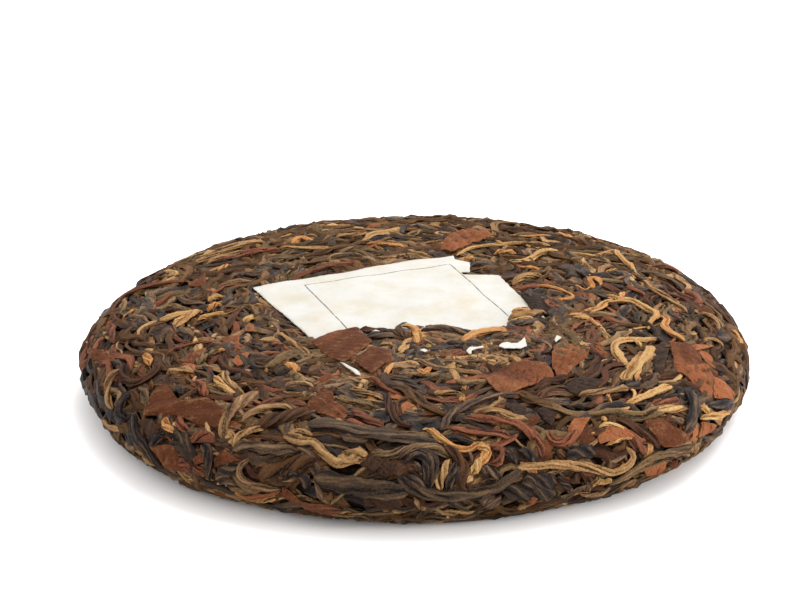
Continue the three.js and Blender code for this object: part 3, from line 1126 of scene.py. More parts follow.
    def bed(self, points: Array, local: Array) -> Array:
        """Lift at which a flake comes to lie on what is under it.

        Args:
            points: Its chart points.
            local: The same from its middle.

        Returns:
            Lifts, one for each point, all in one plane.
        """
        under = self.chart.under(points)
        basis = np.c_[np.ones(len(local)), local]
        plane = basis @ np.linalg.lstsq(basis, under, rcond=None)[0]
        return plane + np.quantile(under - plane, self.BED_QUANTILE) + self.BED_GAP

    def crinkles(self, local: Array) -> Array:
        """Waves over a flake, of three lengths.

        Args:
            local: Chart points from its middle.

        Returns:
            Heights, before they are scaled.
        """
        waves = np.zeros(len(local))
        for height, turns in self.CRINKLES:
            way = local @ self.rng.normal(0, turns, 2)
            waves = waves + height * np.sin(way + self.rng.random() * self.PHASES)
        return waves

    def flake(
        self, kind: Kind, outline: Array, thickness: float, crease: float, curl: float, over_ticket: bool,
        rings: int, around: int, tone: float | None = None, shade: float | None = None,
        level: float | None = None,
    ) -> None:
        """Lays one torn flat piece of leaf, draped over what lies under it.

        Args:
            kind: The flake's kind.
            outline: Chart points of its corners.
            thickness: Its thickness.
            crease: How deep its one fold is.
            curl: How far its rim turns up or down.
            over_ticket: Whether it lies over the ticket.
            rings: Rings of faces between its middle and its rim.
            around: Corners round its rim.
            tone: Its hue, random where none is given.
            shade: Its lightness, random where none is given.
            level: Its lift over the core, from what lies under it where none is given.
        """
        heap, chart, rng = self.heaps[kind], self.chart, self.rng
        middle, arm = self.torn_rim(outline, around)
        share = np.linspace(0, 1, rings + 1)[1:]
        grid = middle + arm[None] * share[:, None, None]
        points = chart.clamp(np.r_[[middle], grid.reshape(-1, 2)])
        local = points - middle
        reach = np.r_[0, np.repeat(share, around)]
        rest = self.bed(points, local) if level is None else np.full(len(points), level)
        fold = rng.random() * math.tau
        from_fold = local @ np.array([math.cos(fold), math.sin(fold)]) - rng.normal(0, self.CREASE_SHIFT)
        size = float(np.linalg.norm(arm, axis=1).mean())
        waves = self.crinkles(local)
        lift = rest - crease * np.abs(from_fold) / size + crease * self.CREASE_RISE
        round_rim = np.r_[0, np.tile(np.arange(around), rings)] / around * math.tau
        droop = min(self.MOST_DROOP, self.DROOP_SHARE * size)
        turned_up = curl * reach**self.CURL_POWER * np.sin(round_rim + fold)
        lift = lift + turned_up - droop * reach**self.DROOP_POWER
        swell = (self.CALM if over_ticket else 1.0) * min(self.MOST_SWELL, self.SWELL_SHARE * size)
        lift = lift + swell * waves
        if level is None:
            lift = chart.press(points, lift - self.FLAKE_PROUD, over_ticket) + self.FLAKE_PROUD
        top, bottom = chart.place(points, lift), chart.place(points, lift - thickness)
        footing = self.footing()
        least = thickness / 2 if chart.side is Side.UPPER else 0.0
        for face, gap in ((top, least), (bottom, thickness / 2 - least)):
            face[:, 2] = np.maximum(face[:, 2], footing + gap)
        # Painted shade: darker in the hollows of the crinkles and lighter on their tops; the rim is lighter
        # too.
        ridge_and_shade = np.clip(0.5 + self.CRINKLE_SHADE * waves + self.RIM_RIDGE * (reach > self.RIM_REACH), 0, 1)
        first = heap.vertices(
            np.r_[top, bottom],
            rng.random() if tone is None else tone,
            rng.random() if shade is None else shade,
            np.r_[ridge_and_shade, ridge_and_shade],
        )
        self.flake_faces(heap, first, rings, around, local, size)
        chart.stamp(points, lift)
        for inner in self.STAMP_INNER:
            chart.stamp(chart.clamp(middle + local * inner), lift)

    def flake_faces(
        self, heap: MeshHeap, first: int, rings: int, around: int, local: Array, size: float
    ) -> None:
        """Adds the two faces and the rim of a flake.

        Args:
            heap: The heap that holds the flake.
            first: Index of its first vertex.
            rings: Rings of faces between its middle and its rim.
            around: Corners round its rim.
            local: Plan places of one face's vertices, from its middle.
            size: Mean reach of its rim.
        """
        offset = self.rng.random(2) * self.GRAIN_SPAN
        count = len(local)
        spin = turned(local, self.rng.random() * math.tau)
        grain = np.r_[spin, spin] + offset
        flat = np.clip(local / (self.FLAKE_TILE * size) + 0.5, 0, 1)
        tile = np.r_[flat * [0.5, 1], flat * [0.5, 1] + [0.5, 0]]
        corner = np.arange(around)
        beyond = (corner + 1) % around
        fan = np.stack([np.zeros(around, int), 1 + corner, 1 + beyond], -1)
        ring = np.arange(rings - 1)[:, None] * around + 1
        inner, inner_next = (ring + corner).ravel(), (ring + beyond).ravel()
        sheet = np.stack([inner, inner + around, inner_next + around, inner_next], -1)
        rim = 1 + (rings - 1) * around
        edge = np.stack([rim + corner, rim + corner + count, rim + beyond + count, rim + beyond], -1)
        for faces in (fan, fan[:, ::-1] + count, sheet, sheet[:, ::-1] + count, edge):
            heap.add_faces(faces + first, grain[faces], tile[faces])

    def heading(self, point: Array) -> float:
        """A heading for a leaf: any way near the middle, mostly round the rim further out.

        Args:
            point: Where the leaf's middle lies.

        Returns:
            Its angle on the chart.
        """
        near_rim = float(smooth(*self.RIM_SPAN, np.linalg.norm(point) / self.chart.form.core_radius))
        spread = self.LOOSE_HEADING + (self.RIM_HEADING - self.LOOSE_HEADING) * near_rim
        return math.atan2(point[1], point[0]) + math.pi / 2 + self.rng.normal(0, spread)

    def scatter(
        self, kinds: dict[Kind, int], highest: tuple[float, float], dive: float,
        habit: LeafHabit | None = None,
    ) -> None:
        """Lays leaves of several kinds all over the face, in a random order.

        Args:
            kinds: How many of each kind.
            highest: Range of the most that their middle lines may be lifted.
            dive: How far their ends go down.
            habit: Their shape, their kinds' where none is given.
        """
        names = list(kinds)
        bag = np.repeat(np.arange(len(names)), list(kinds.values()))
        self.rng.shuffle(bag)
        for choice, middle in zip(bag, self.chart.spread(len(bag), self.rng)):
            self.lay(names[choice], middle, highest, dive, False, habit)

    def hidden_by_ticket(self, route: Array, over_ticket: bool) -> bool:
        """Whether a leaf would show on the bare ticket, or lie wholly under it.

        Args:
            route: Its chart points.
            over_ticket: Whether it lies over the ticket.

        Returns:
            True where the leaf has no place.
        """
        ticket = self.chart.ticket
        if self.chart.side is Side.LOWER:
            return False
        deep = ticket.outside(route)
        if over_ticket:
            return bool(np.any((deep < self.BARE_MARGIN) & (ticket.covered_by(route) < self.COVER_MARGIN)))
        return bool(deep.max() < 0 or np.median(deep) < -self.DEEPEST_UNDER)

    def lay(
        self, kind: Kind, middle: Array, highest: tuple[float, float], dive: float, over_ticket: bool,
        habit: LeafHabit | None = None,
    ) -> None:
        """Lays one leaf of a kind at a chart place, unless it would show on the bare ticket.

        Args:
            kind: Its kind.
            middle: Where its middle lies.
            highest: Range of the most that its middle line may be lifted.
            dive: How far its ends go down.
            over_ticket: Whether it lies over the ticket.
            habit: Its shape, its kind's where none is given.
        """
        kind = self.kind_at(kind, middle)
        habit = habit or HABITS[kind]
        route = self.wandering_route(middle, self.heading(middle), self.between(habit.length), habit)
        if len(route) < self.FEWEST_POINTS or self.hidden_by_ticket(route, over_ticket):
            return
        width = self.between(habit.width)
        self.rolled_leaf(kind, route, width, self.between(highest), dive, over_ticket, habit=habit)

    def scatter_bundles(self, count: int, kinds: tuple[Kind, ...], highest: tuple[float, float]) -> None:
        """Lays bundles of leaves that run side by side, as they do where the cake was pressed.

        Args:
            count: How many bundles.
            kinds: Kinds that their leaves are drawn from.
            highest: Range of the most that the leaves' middle lines may be lifted.
        """
        rng = self.rng
        for middle in self.chart.spread(count, rng):
            habit = HABITS[kinds[int(rng.integers(len(kinds)))]]
            heading = self.heading(middle)
            route = self.wandering_route(middle, heading, self.between(self.BUNDLE_LENGTH), habit)
            if len(route) < self.BUNDLE_STATIONS or self.hidden_by_ticket(route, False):
                continue
            across = across_of(route)
            strands = int(rng.integers(*self.BUNDLE_LEAVES))
            pitch = self.between(self.BUNDLE_PITCH)
            share = np.linspace(-1, 1, len(route))
            spread = 1 - self.between(self.BUNDLE_CLOSING) * share**2
            trim = len(route) // self.BUNDLE_TRIM
            for i in range(strands):
                kind = kinds[int(rng.integers(len(kinds)))]
                wander = self.BUNDLE_WANDER * np.sin(self.BUNDLE_WAVES * share + rng.random() * self.PHASES)
                offset = pitch * ((i - (strands - 1) / 2) * spread + wander)
                lane = self.chart.clamp(route + across * offset[:, None])
                first = int(rng.integers(0, trim))
                last = len(route) - int(rng.integers(0, trim))
                width = pitch * self.between(self.BUNDLE_WIDTH)
                level = self.between(highest)
                self.rolled_leaf(kind, lane[first:last], width, level, self.BUNDLE_DIVE, False)

    def fill_gaps(self, kinds: tuple[Kind, ...], depth: float, habit: LeafHabit) -> None:
        """Lays short shreds in the gaps that the other leaves have left.

        Args:
            kinds: Kinds that the shreds are drawn from.
            depth: How far a gap lies below the level to which leaves are pressed.
            habit: Shape of the shreds.
        """
        chart, rng = self.chart, self.rng
        row = np.arange(-chart.limit, chart.limit, self.GAP_STEP)
        spots = np.stack(np.meshgrid(row, row), -1).reshape(-1, 2)
        spots = spots[np.linalg.norm(spots, axis=1) < chart.limit - self.GAP_RIM]
        if chart.side is Side.UPPER:
            spots = spots[chart.ticket.outside(spots) > self.GAP_TICKET]
        highest = tuple(chart.press_top - drop for drop in self.GAP_DROPS)
        close = self.GAP_REACH * np.array([[0, 0], [1, 0], [0, 1], [-1, 0], [0, -1]])
        for spot in rng.permutation(spots):
            if chart.under(spot + close).max() < chart.press_top - depth:
                kind = kinds[int(rng.integers(len(kinds)))]
                self.lay(kind, spot, highest, self.GAP_DIVE, False, habit)

    def scatter_flakes(self, kind: Kind, count: int, size: tuple[float, float]) -> None:
        """Lays torn flakes all over the face, clear of the ticket.

        Args:
            kind: Their kind.
            count: How many.
            size: Range of their lengths.
        """
        chart, rng = self.chart, self.rng
        for middle in chart.spread(count, rng):
            length = self.between(size)
            corners = int(rng.integers(*self.FLAKE_CORNERS))
            shift = rng.uniform(-self.FLAKE_TURN, self.FLAKE_TURN, corners)
            angle = (np.arange(corners) + shift) * math.tau / corners
            reach = rng.uniform(*self.FLAKE_REACH, corners) * length / 2
            breadth = self.between(self.FLAKE_BREADTH)
            shape = np.c_[np.cos(angle) * reach, np.sin(angle) * reach * breadth]
            outline = middle + turned(shape, self.heading(middle))
            if chart.side is Side.UPPER and chart.ticket.outside(outline).min() < self.FLAKE_CLEAR:
                continue
            crease, curl = self.between(self.FLAKE_CREASE), self.between(self.FLAKE_CURL)
            self.flake(
                kind, chart.clamp(outline), self.FLAKE_THICKNESS, crease, curl, False, self.FLAKE_RINGS,
                self.FLAKE_AROUND,
            )


@dataclass(frozen=True)
class Strand:
    """A leaf that stands out in the photograph: its pixels from end to end, column and row in turn."""

    name: str
    kind: Kind
    width: float
    pixels: tuple[int, ...]
    tone: float
    flatness: float = 0.6
    over_ticket: bool = False


@dataclass(frozen=True)
class Flake:
    """A torn flake that stands out in the photograph: the pixels of its corners, column and row in turn."""

    name: str
    kind: Kind
    pixels: tuple[int, ...]
    tone: float
    crease: float = 0.2
    curl: float = 0.15
    over_ticket: bool = False


FLAKES = tuple(Flake(*row) for row in (
    ("left_long_flake", RED_FLAKE, (
        146, 416, 153, 387, 166, 383, 172, 396, 187, 402, 207, 399, 227, 410, 218, 427, 196, 422,
        172, 413), 0.05),
    ("left_low_flake", RED_FLAKE, (
        150, 445, 166, 444, 178, 446, 180, 460, 184, 472, 173, 471, 163, 462), 0.25),
    ("left_small_flake", RED_FLAKE, (216, 460, 225, 449, 238, 460, 216, 467), 0.2),
    ("left_rim_flake", RED_FLAKE, (87, 347, 100, 350, 114, 357, 110, 363, 90, 358), 0.3),
    ("left_top_star", RED_FLAKE, (221, 337, 239, 335, 239, 344, 245, 348, 236, 355, 226, 348), 0.45),
    ("left_dark_flake", RED_FLAKE, (178, 361, 196, 351, 207, 346, 205, 353, 193, 363), 0.15),
    ("back_left_triangle", RED_FLAKE, (187, 283, 205, 273, 207, 285, 190, 287), 0.1),
    ("ticket_front_flake", RED_FLAKE, (
        310, 340, 329, 332, 357, 325, 373, 341, 352, 356, 345, 361, 323, 353), 0.15, 0.05, 0.05, True),
    ("ticket_second_flake", RED_FLAKE, (
        350, 358, 373, 345, 392, 350, 390, 359, 372, 371), 0.1, 0.05, 0.05, True),
    ("centre_star", RED_FLAKE, (
        306, 406, 317, 390, 331, 388, 335, 402, 349, 410, 343, 420, 328, 416), 0.45),
    ("centre_upper_flake", RED_FLAKE, (314, 381, 331, 371, 333, 384, 320, 389), 0.4),
    ("centre_dark_flake", DARK_FLAKE, (361, 465, 373, 455, 398, 465, 398, 475, 386, 477, 367, 468), 0.8),
    ("great_red_flake", RED_FLAKE, (
        484, 379, 499, 367, 523, 359, 549, 361, 553, 376, 530, 383, 514, 393, 496, 391), 0.4),
    ("second_red_flake", RED_FLAKE, (
        552, 351, 560, 343, 581, 343, 588, 354, 577, 364, 560, 377, 553, 369), 0.6),
    ("right_dark_flake", DARK_FLAKE, (564, 386, 580, 376, 603, 378, 596, 388, 575, 394), 0.2),
    ("right_brown_flake", RED_FLAKE, (
        670, 341, 687, 343, 701, 352, 704, 367, 690, 377, 676, 370, 673, 357), 0.35),
    ("right_red_flake", RED_FLAKE, (685, 366, 704, 360, 714, 377, 710, 398, 701, 392, 688, 378), 0.5),
    ("right_rim_flake", RED_FLAKE, (713, 377, 725, 381, 737, 395, 734, 401, 714, 398), 1.0),
    ("right_blade", DARK_FLAKE, (653, 352, 663, 340, 670, 345, 664, 372, 655, 376), 0.3),
    ("right_low_maroon", RED_FLAKE, (
        644, 419, 658, 418, 675, 427, 688, 438, 673, 445, 661, 447, 650, 432), 0.2),
    ("right_low_oval", RED_FLAKE, (642, 468, 652, 459, 664, 461, 658, 473, 645, 476), 1.0),
    ("tan_edged_flake", RED_FLAKE, (597, 438, 606, 426, 624, 427, 633, 436, 618, 439, 601, 444), 0.9),
    ("curl_flake", RED_FLAKE, (567, 432, 574, 418, 590, 418, 582, 433, 573, 438), 0.75),
    ("back_red_flake", RED_FLAKE, (
        439, 248, 449, 233, 464, 228, 490, 230, 492, 236, 471, 242, 455, 249), 0.65),
    ("black_flake", DARK_FLAKE, (524, 295, 545, 293, 556, 305, 535, 318), 0.1),
    ("charcoal_flake", DARK_FLAKE, (505, 405, 515, 399, 527, 408, 526, 418, 515, 414), 0.1),
    ("grey_flake", DARK_FLAKE, (537, 410, 545, 405, 558, 413, 553, 425, 545, 420), 0.3),
    ("left_maroon_dark", DARK_FLAKE, (138, 420, 150, 418, 163, 428, 160, 436, 148, 435), 0.9),
    ("foot_brown_flake", DARK_FLAKE, (364, 497, 385, 495, 401, 495, 402, 506, 380, 508, 366, 507), 0.7),
    ("low_maroon_chip", RED_FLAKE, (281, 488, 290, 490, 304, 503, 291, 503, 281, 496), 0.15),
    ("left_tiny_flake", RED_FLAKE, (194, 458, 205, 452, 207, 461, 197, 464), 0.4),
    ("rim_tan_flake", RED_FLAKE, (696, 437, 701, 421, 715, 425, 708, 432), 0.9),
    ("front_scrap", SCRAP, (
        340, 363, 346, 364, 352, 367, 357, 371, 361, 375, 356, 374, 351, 370, 347, 367), 0.5, 0, 0, True),
    ("thin_scrap", SCRAP, (372, 331, 376, 330, 380, 331, 380, 332, 374, 332), 0.5, 0, 0, True),
    ("small_scrap", SCRAP, (420, 350, 424, 349, 428, 351, 425, 352), 0.5, 0, 0, True),
    ("hooked_scrap", SCRAP, (
        466, 350, 470, 347, 477, 347, 483, 346, 484, 348, 476, 349, 471, 350), 0.5, 0, 0, True),
    ("hooked_scrap_tip", SCRAP, (466, 350, 472, 349, 471, 355, 469, 354), 0.5, 0, 0, True),
    ("winged_scrap", SCRAP, (499, 346, 502, 343, 507, 342, 513, 344, 515, 348, 504, 348), 0.5, 0, 0, True),
    ("winged_scrap_tip", SCRAP, (
        512, 344, 517, 344, 521, 341, 525, 338, 527, 345, 521, 348, 514, 348), 0.5, 0, 0, True),
    ("right_scrap", SCRAP, (554, 341, 557, 336, 561, 338, 556, 342), 0.5, 0, 0, True),
))

STRANDS = tuple(Strand(*row) for row in (
    ("brown_broad", BROWN, 3.0, (258, 477, 285, 468, 316, 459), 0.5, 0.4),
    ("maroon_strip", RED, 2.2, (258, 404, 280, 400, 307, 405), 0.2, 0.45),
    ("under_bar", BROWN, 1.6, (278, 398, 290, 395, 305, 394), 0.8),
    ("olive_tan_bar", TAN, 2.0, (285, 386, 300, 384, 314, 387), 0.3, 0.5),
    ("notch_black", BLACK, 2.2, (335, 392, 346, 395, 356, 400), 0.2, 0.5),
    ("olive_hairs", TAN, 1.6, (350, 388, 366, 393, 384, 398), 0.3, 0.5),
    ("olive_ribbon", OLIVE, 1.8, (335, 396, 347, 401, 361, 403, 375, 403), 0.9, 0.5),
    ("red_ridge", RED, 2.0, (351, 411, 365, 418, 384, 426), 0.3, 0.5),
    ("orange_ridge", RED, 1.4, (346, 419, 362, 425, 380, 429), 0.8, 0.5),
    ("purple_strap", BLACK, 2.2, (391, 375, 408, 382, 424, 393), 0.6, 0.5),
    ("folded_brown", BROWN, 2.8, (520, 391, 532, 400, 548, 403, 562, 409), 0.9, 0.4),
    ("blue_black_leaf", BLACK, 2.8, (567, 459, 580, 453, 598, 451), 0.2, 0.4),
    ("slate_leaf", BLACK, 3.4, (504, 493, 530, 493, 558, 497), 0.4, 0.35),
    ("low_lump", OLIVE, 3.4, (480, 504, 491, 503, 503, 505), 0.1),
    ("right_foot_dark", BLACK, 3.0, (523, 484, 540, 482, 558, 486), 0.3, 0.4),
    ("dark_swirl_left", BLACK, 1.8, (504, 452, 513, 457, 520, 466), 0.1),
    ("dark_swirl_right", BLACK, 1.8, (519, 450, 531, 456, 536, 466), 0.1),
    ("nest_bar", OLIVE, 1.9, (481, 468, 492, 474, 505, 481), 0.1),
    ("black_curl_left", BLACK, 2.0, (279, 478, 290, 472, 298, 478), 0.1),
    ("black_curl_right", BLACK, 2.2, (300, 474, 306, 482, 303, 490), 0.1),
    ("foot_maroon", RED, 2.4, (300, 505, 320, 508, 342, 511), 0.1, 0.4),
    ("left_foot_black", BLACK, 2.4, (217, 474, 227, 471, 238, 467), 0.1, 0.5),
    ("left_foot_olive", OLIVE, 2.2, (215, 480, 226, 480, 236, 486), 0.1, 0.5),
    ("left_low_black", BLACK, 2.2, (126, 437, 134, 440, 143, 446), 0.1, 0.5),
    ("left_pocket_black", BLACK, 2.2, (149, 440, 157, 440, 164, 437), 0.1, 0.5),
    ("left_low_red", RED, 2.0, (180, 458, 188, 466, 190, 474), 0.4, 0.4),
    ("left_foot_red", RED, 1.8, (194, 468, 203, 472, 208, 476), 0.3, 0.5),
    ("left_olive_drop", OLIVE, 1.9, (141, 384, 145, 394, 147, 405), 0.4),
    ("left_brown_drop", BROWN, 1.8, (133, 389, 136, 398, 133, 405), 0.3),
    ("left_c_curve", BROWN, 2.0, (124, 361, 123, 374, 130, 383, 144, 381, 155, 371, 156, 361), 0.1, 0.7),
    ("left_gold_knot", GOLD, 1.8, (143, 353, 147, 358, 149, 365), 0.7, 0.7),
    ("left_gold_wave", GOLD, 1.6, (214, 371, 218, 381, 227, 387, 239, 394), 0.4),
    ("left_olive_strap", TAN, 2.6, (261, 387, 245, 396, 235, 408, 225, 422, 222, 437), 0.3, 0.45),
    ("orange_curl", GOLD, 1.6, (166, 416, 168, 425, 175, 432), 0.9),
    ("orange_curl_right", RED, 1.6, (178, 416, 183, 425, 190, 431), 0.9),
    ("left_black_strap", BLACK, 2.0, (201, 443, 208, 451, 210, 465, 210, 480), 0.2),
    ("left_red_bow", RED, 2.2, (190, 441, 203, 436, 215, 442), 0.5, 0.5),
    ("gold_hook", TAN, 1.5, (249, 460, 240, 467, 238, 476, 247, 483, 264, 487, 280, 490), 0.2, 0.7),
    ("low_orange_streak", RED, 1.2, (242, 498, 261, 496, 279, 492), 1.0, 0.5),
    ("tan_bow", TAN, 1.6, (231, 447, 240, 437, 250, 431, 265, 428), 0.8),
    ("long_gold_strand", TAN, 2.0, (
        284, 434, 300, 442, 313, 444, 323, 453, 337, 461, 350, 461, 366, 451), 0.7, 0.5),
    ("olive_bar", OLIVE, 2.3, (233, 451, 248, 446, 271, 449, 296, 451), 0.3),
    ("broad_purple_leaf", BROWN, 3.8, (257, 426, 282, 416, 312, 411), 0.3, 0.35),
    ("tan_olive_leaf", TAN, 2.2, (242, 421, 258, 411, 284, 405, 297, 409), 0.2, 0.5),
    ("thin_red_strand", RED, 0.9, (166, 351, 184, 344, 203, 341, 222, 342), 0.95, 0.8),
    ("left_tan_leaf", TAN, 2.1, (165, 372, 180, 369, 194, 370), 0.6, 0.5),
    ("left_olive_leaf", OLIVE, 1.8, (197, 363, 207, 354, 219, 350), 0.9),
    ("orange_chip", GOLD, 2.2, (283, 363, 292, 365, 297, 372), 1.0, 0.5),
    ("tan_by_ticket", TAN, 1.4, (280, 331, 294, 343, 310, 355), 0.9),
    ("left_edge_bow", TAN, 2.0, (119, 369, 108, 380, 106, 394, 110, 409), 0.5),
    ("left_edge_dark", BLACK, 2.3, (131, 391, 121, 402, 117, 415, 124, 423), 0.1),
    ("left_long_dark", BLACK, 1.9, (133, 415, 137, 432, 150, 450, 165, 470), 0.3, 0.7),
    ("gold_arch", GOLD, 1.4, (385, 375, 391, 365, 404, 361, 420, 364), 0.5, 0.7),
    ("olive_arch", TAN, 1.6, (
        379, 372, 386, 362, 401, 357, 418, 358, 428, 365, 446, 370, 482, 373), 0.4, 0.7),
    ("orange_ring", GOLD, 1.3, (417, 369, 425, 373, 430, 367), 1.0, 0.7),
    ("brown_strand", BROWN, 2.5, (391, 386, 407, 391, 422, 403, 438, 411, 452, 416), 0.7),
    ("dark_arc", OLIVE, 1.9, (441, 429, 451, 416, 471, 404, 496, 397, 519, 394), 0.1, 0.75),
    ("curl_outer", BROWN, 1.5, (387, 394, 391, 412, 402, 425, 414, 424), 0.1, 0.7),
    ("curl_inner", BROWN, 1.4, (400, 416, 398, 406, 406, 399, 418, 401, 420, 411), 0.4, 0.7),
    ("tan_leaf_right", TAN, 2.2, (480, 410, 499, 412, 517, 419, 531, 422), 0.6, 0.5),
    ("long_red_strand", RED, 2.0, (465, 417, 499, 422, 523, 428, 539, 442), 0.7, 0.55),
    ("short_red_strand", RED, 2.0, (450, 428, 476, 431, 511, 436), 0.8, 0.55),
    ("broad_dark_leaf", BLACK, 3.4, (308, 421, 331, 425, 361, 431, 395, 437, 438, 446), 0.9, 0.35),
    ("olive_crest", OLIVE, 2.0, (371, 451, 392, 454, 410, 448, 433, 448, 450, 456), 0.5),
    ("gold_snake", GOLD, 1.5, (
        428, 427, 438, 436, 453, 446, 468, 449, 480, 445, 487, 453, 482, 462, 475, 469,
        469, 477), 0.75, 0.65),
    ("red_ring", RED, 1.5, (489, 446, 502, 450, 501, 462, 492, 465), 0.4),
    ("nest_outer", BLACK, 1.8, (399, 459, 408, 450, 420, 452, 431, 458, 434, 469, 431, 481, 429, 489), 0.3),
    ("nest_middle", BROWN, 1.8, (
        444, 447, 453, 453, 460, 460, 465, 469, 463, 478, 463, 487, 471, 492), 0.2),
    ("nest_gold", TAN, 1.6, (452, 459, 444, 471, 439, 483, 441, 493), 0.9),
    ("nest_dark", BLACK, 1.6, (456, 463, 452, 475, 449, 487, 454, 494), 0.5),
    ("low_long_strand", BLACK, 2.3, (
        398, 478, 415, 489, 438, 495, 468, 495, 491, 491, 511, 482, 523, 471), 0.9, 0.7),
    ("low_broad_leaf", BLACK, 3.8, (314, 477, 346, 483, 376, 489, 408, 493), 0.8, 0.35),
    ("ticket_gap_brown", BROWN, 2.4, (360, 328, 373, 330, 389, 327), 0.2, 0.4, True),
    ("ticket_gap_dark", BLACK, 2.6, (365, 336, 379, 337, 396, 338), 0.8, 0.4, True),
    ("ticket_corner_dark", BLACK, 2.4, (514, 325, 526, 324, 541, 322), 0.6, 0.5, True),
    ("ticket_corner_fill", TAN, 1.8, (508, 318, 520, 316, 534, 314), 0.7, 0.5, True),
    ("ticket_tan_chip", TAN, 1.2, (381, 345, 393, 346), 0.9, 0.6, True),
    ("ticket_gold_drop", GOLD, 1.8, (400, 325, 411, 327, 417, 335, 417, 345), 0.8, 0.5, True),
    ("ticket_brown_leaf", BROWN, 2.6, (385, 330, 398, 334, 412, 340), 0.6, 0.4, True),
    ("ticket_gold_bud", GOLD, 2.3, (463, 344, 478, 335, 499, 331, 507, 333), 0.7, 0.5, True),
    ("ticket_dark_leaf", OLIVE, 2.6, (420, 330, 440, 328, 460, 332, 478, 338), 0.2, 0.4, True),
    ("ticket_corner_bud", GOLD, 1.9, (512, 315, 522, 311, 532, 309), 0.6, 0.5, True),
    ("ticket_corner_tan", GOLD, 1.3, (506, 321, 520, 320, 535, 319), 0.1, 0.6, True),
    ("forked_bud_upper", GOLD, 2.0, (
        660, 335, 644, 338, 633, 339, 621, 341, 615, 346, 618, 354, 625, 362, 632, 367), 0.25, 0.4),
    ("forked_bud_lower", GOLD, 3.4, (654, 345, 648, 353, 641, 361, 633, 369, 623, 379), 0.25, 0.3),
    ("star_twig", GOLD, 1.9, (
        565, 315, 584, 312, 597, 308, 607, 300, 618, 298, 630, 300, 641, 303, 652, 310, 657, 315, 652, 319,
        648, 327), 0.5, 0.5),
    ("star_twig_branch", GOLD, 1.5, (605, 294, 612, 297, 619, 300), 0.5),
    ("star_twig_bud", GOLD, 1.3, (624, 291, 621, 295, 618, 300), 0.7),
    ("star_twig_arm", GOLD, 0.9, (587, 315, 599, 326, 608, 333, 614, 337), 0.4, 0.7),
    ("star_twig_low_arm", TAN, 0.9, (596, 324, 602, 333, 609, 340), 0.7, 0.7),
    ("right_twig", GOLD, 1.6, (661, 315, 667, 320, 664, 327, 673, 333, 685, 340), 0.7, 0.65),
    ("back_right_gold", GOLD, 1.5, (567, 250, 590, 253, 612, 249, 618, 254, 630, 265, 637, 271), 0.4),
    ("right_gold_curl", GOLD, 1.2, (574, 281, 584, 287, 592, 283, 590, 278, 596, 278, 603, 285), 0.8, 0.65),
    ("orange_hook", GOLD, 1.1, (534, 284, 555, 287, 572, 295, 569, 298, 551, 301), 1.0),
    ("right_tan_strand", TAN, 1.5, (645, 278, 650, 286, 665, 295, 681, 306, 688, 311), 0.7),
    ("right_rim_gold", GOLD, 1.6, (731, 327, 738, 334, 743, 345), 0.5),
    ("right_tan_bow", TAN, 1.4, (699, 311, 713, 317, 719, 329), 0.6),
    ("right_red_stem", RED, 1.1, (625, 284, 645, 295), 0.9, 0.8),
    ("back_gold_strand", GOLD, 1.2, (456, 251, 480, 245, 509, 243, 536, 243, 550, 244), 0.2),
    ("back_gold_leaf", GOLD, 1.9, (507, 260, 524, 260, 543, 251, 562, 248), 0.2, 0.5),
    ("back_orange_leaf", GOLD, 2.1, (494, 251, 504, 251, 516, 251), 1.0, 0.4),
    ("notch_gold", GOLD, 1.8, (457, 255, 466, 256, 477, 255), 0.6, 0.5),
    ("back_brown_leaf", TAN, 2.0, (513, 281, 526, 275, 544, 273), 0.9, 0.5),
    ("back_rim_gold", GOLD, 1.6, (555, 232, 564, 235, 573, 239), 0.7, 0.5),
    ("back_red_stem", RED, 1.3, (290, 276, 320, 267, 358, 260), 0.3, 0.75),
    ("back_orange_stick", GOLD, 1.3, (367, 242, 385, 243, 404, 245), 1.0),
    ("back_left_gold", GOLD, 1.8, (291, 242, 302, 237, 315, 240), 0.7, 0.5),
    ("back_left_tan", TAN, 1.4, (280, 247, 309, 248, 335, 244), 1.0),
    ("back_left_red", RED, 1.6, (240, 253, 257, 250, 279, 247), 1.0),
    ("back_tan", TAN, 1.8, (336, 236, 355, 234, 369, 232), 0.6, 0.5),
    ("left_gold_strip", GOLD, 1.9, (135, 333, 145, 322, 165, 318, 188, 313, 202, 309), 0.3, 0.5),
    ("left_gold_patch", GOLD, 2.6, (176, 325, 186, 317, 199, 309), 0.35, 0.35),
    ("left_gold_drop", GOLD, 1.8, (208, 300, 215, 297, 222, 295), 0.35),
    ("left_orange_drop", GOLD, 1.7, (207, 308, 213, 305, 221, 303), 0.8),
    ("left_tan_bar", GOLD, 1.4, (197, 318, 211, 315, 226, 311), 0.3),
    ("left_orange_stick", GOLD, 0.9, (122, 317, 130, 312, 139, 307), 1.0, 0.7),
    ("left_red_drop", RED, 1.8, (111, 324, 113, 332, 115, 341), 0.3),
    ("left_back_orange", GOLD, 1.3, (217, 268, 224, 265, 231, 262), 1.0),
    ("left_olive_bow", OLIVE, 1.5, (177, 295, 188, 302, 206, 302), 0.4),
    ("left_rim_tan", TAN, 1.6, (206, 262, 228, 255, 247, 250), 0.6),
    ("right_ribbon", OLIVE, 2.0, (
        529, 398, 548, 406, 566, 410, 593, 413, 615, 410, 642, 413, 683, 405), 0.9, 0.5),
    ("right_tan_leaf", GOLD, 1.8, (625, 403, 647, 395, 658, 390, 671, 384), 0.3, 0.5),
    ("right_brown_ribbon", TAN, 1.9, (578, 395, 600, 392, 628, 387), 0.4, 0.5),
    ("right_orange_chip", RED, 1.4, (651, 403, 665, 401, 680, 399), 1.0, 0.5),
    ("right_dark_strap", BLACK, 2.6, (686, 388, 690, 400, 690, 413, 682, 432), 0.2, 0.5),
    ("right_gold_bar", GOLD, 1.5, (698, 417, 717, 415, 732, 411), 0.4),
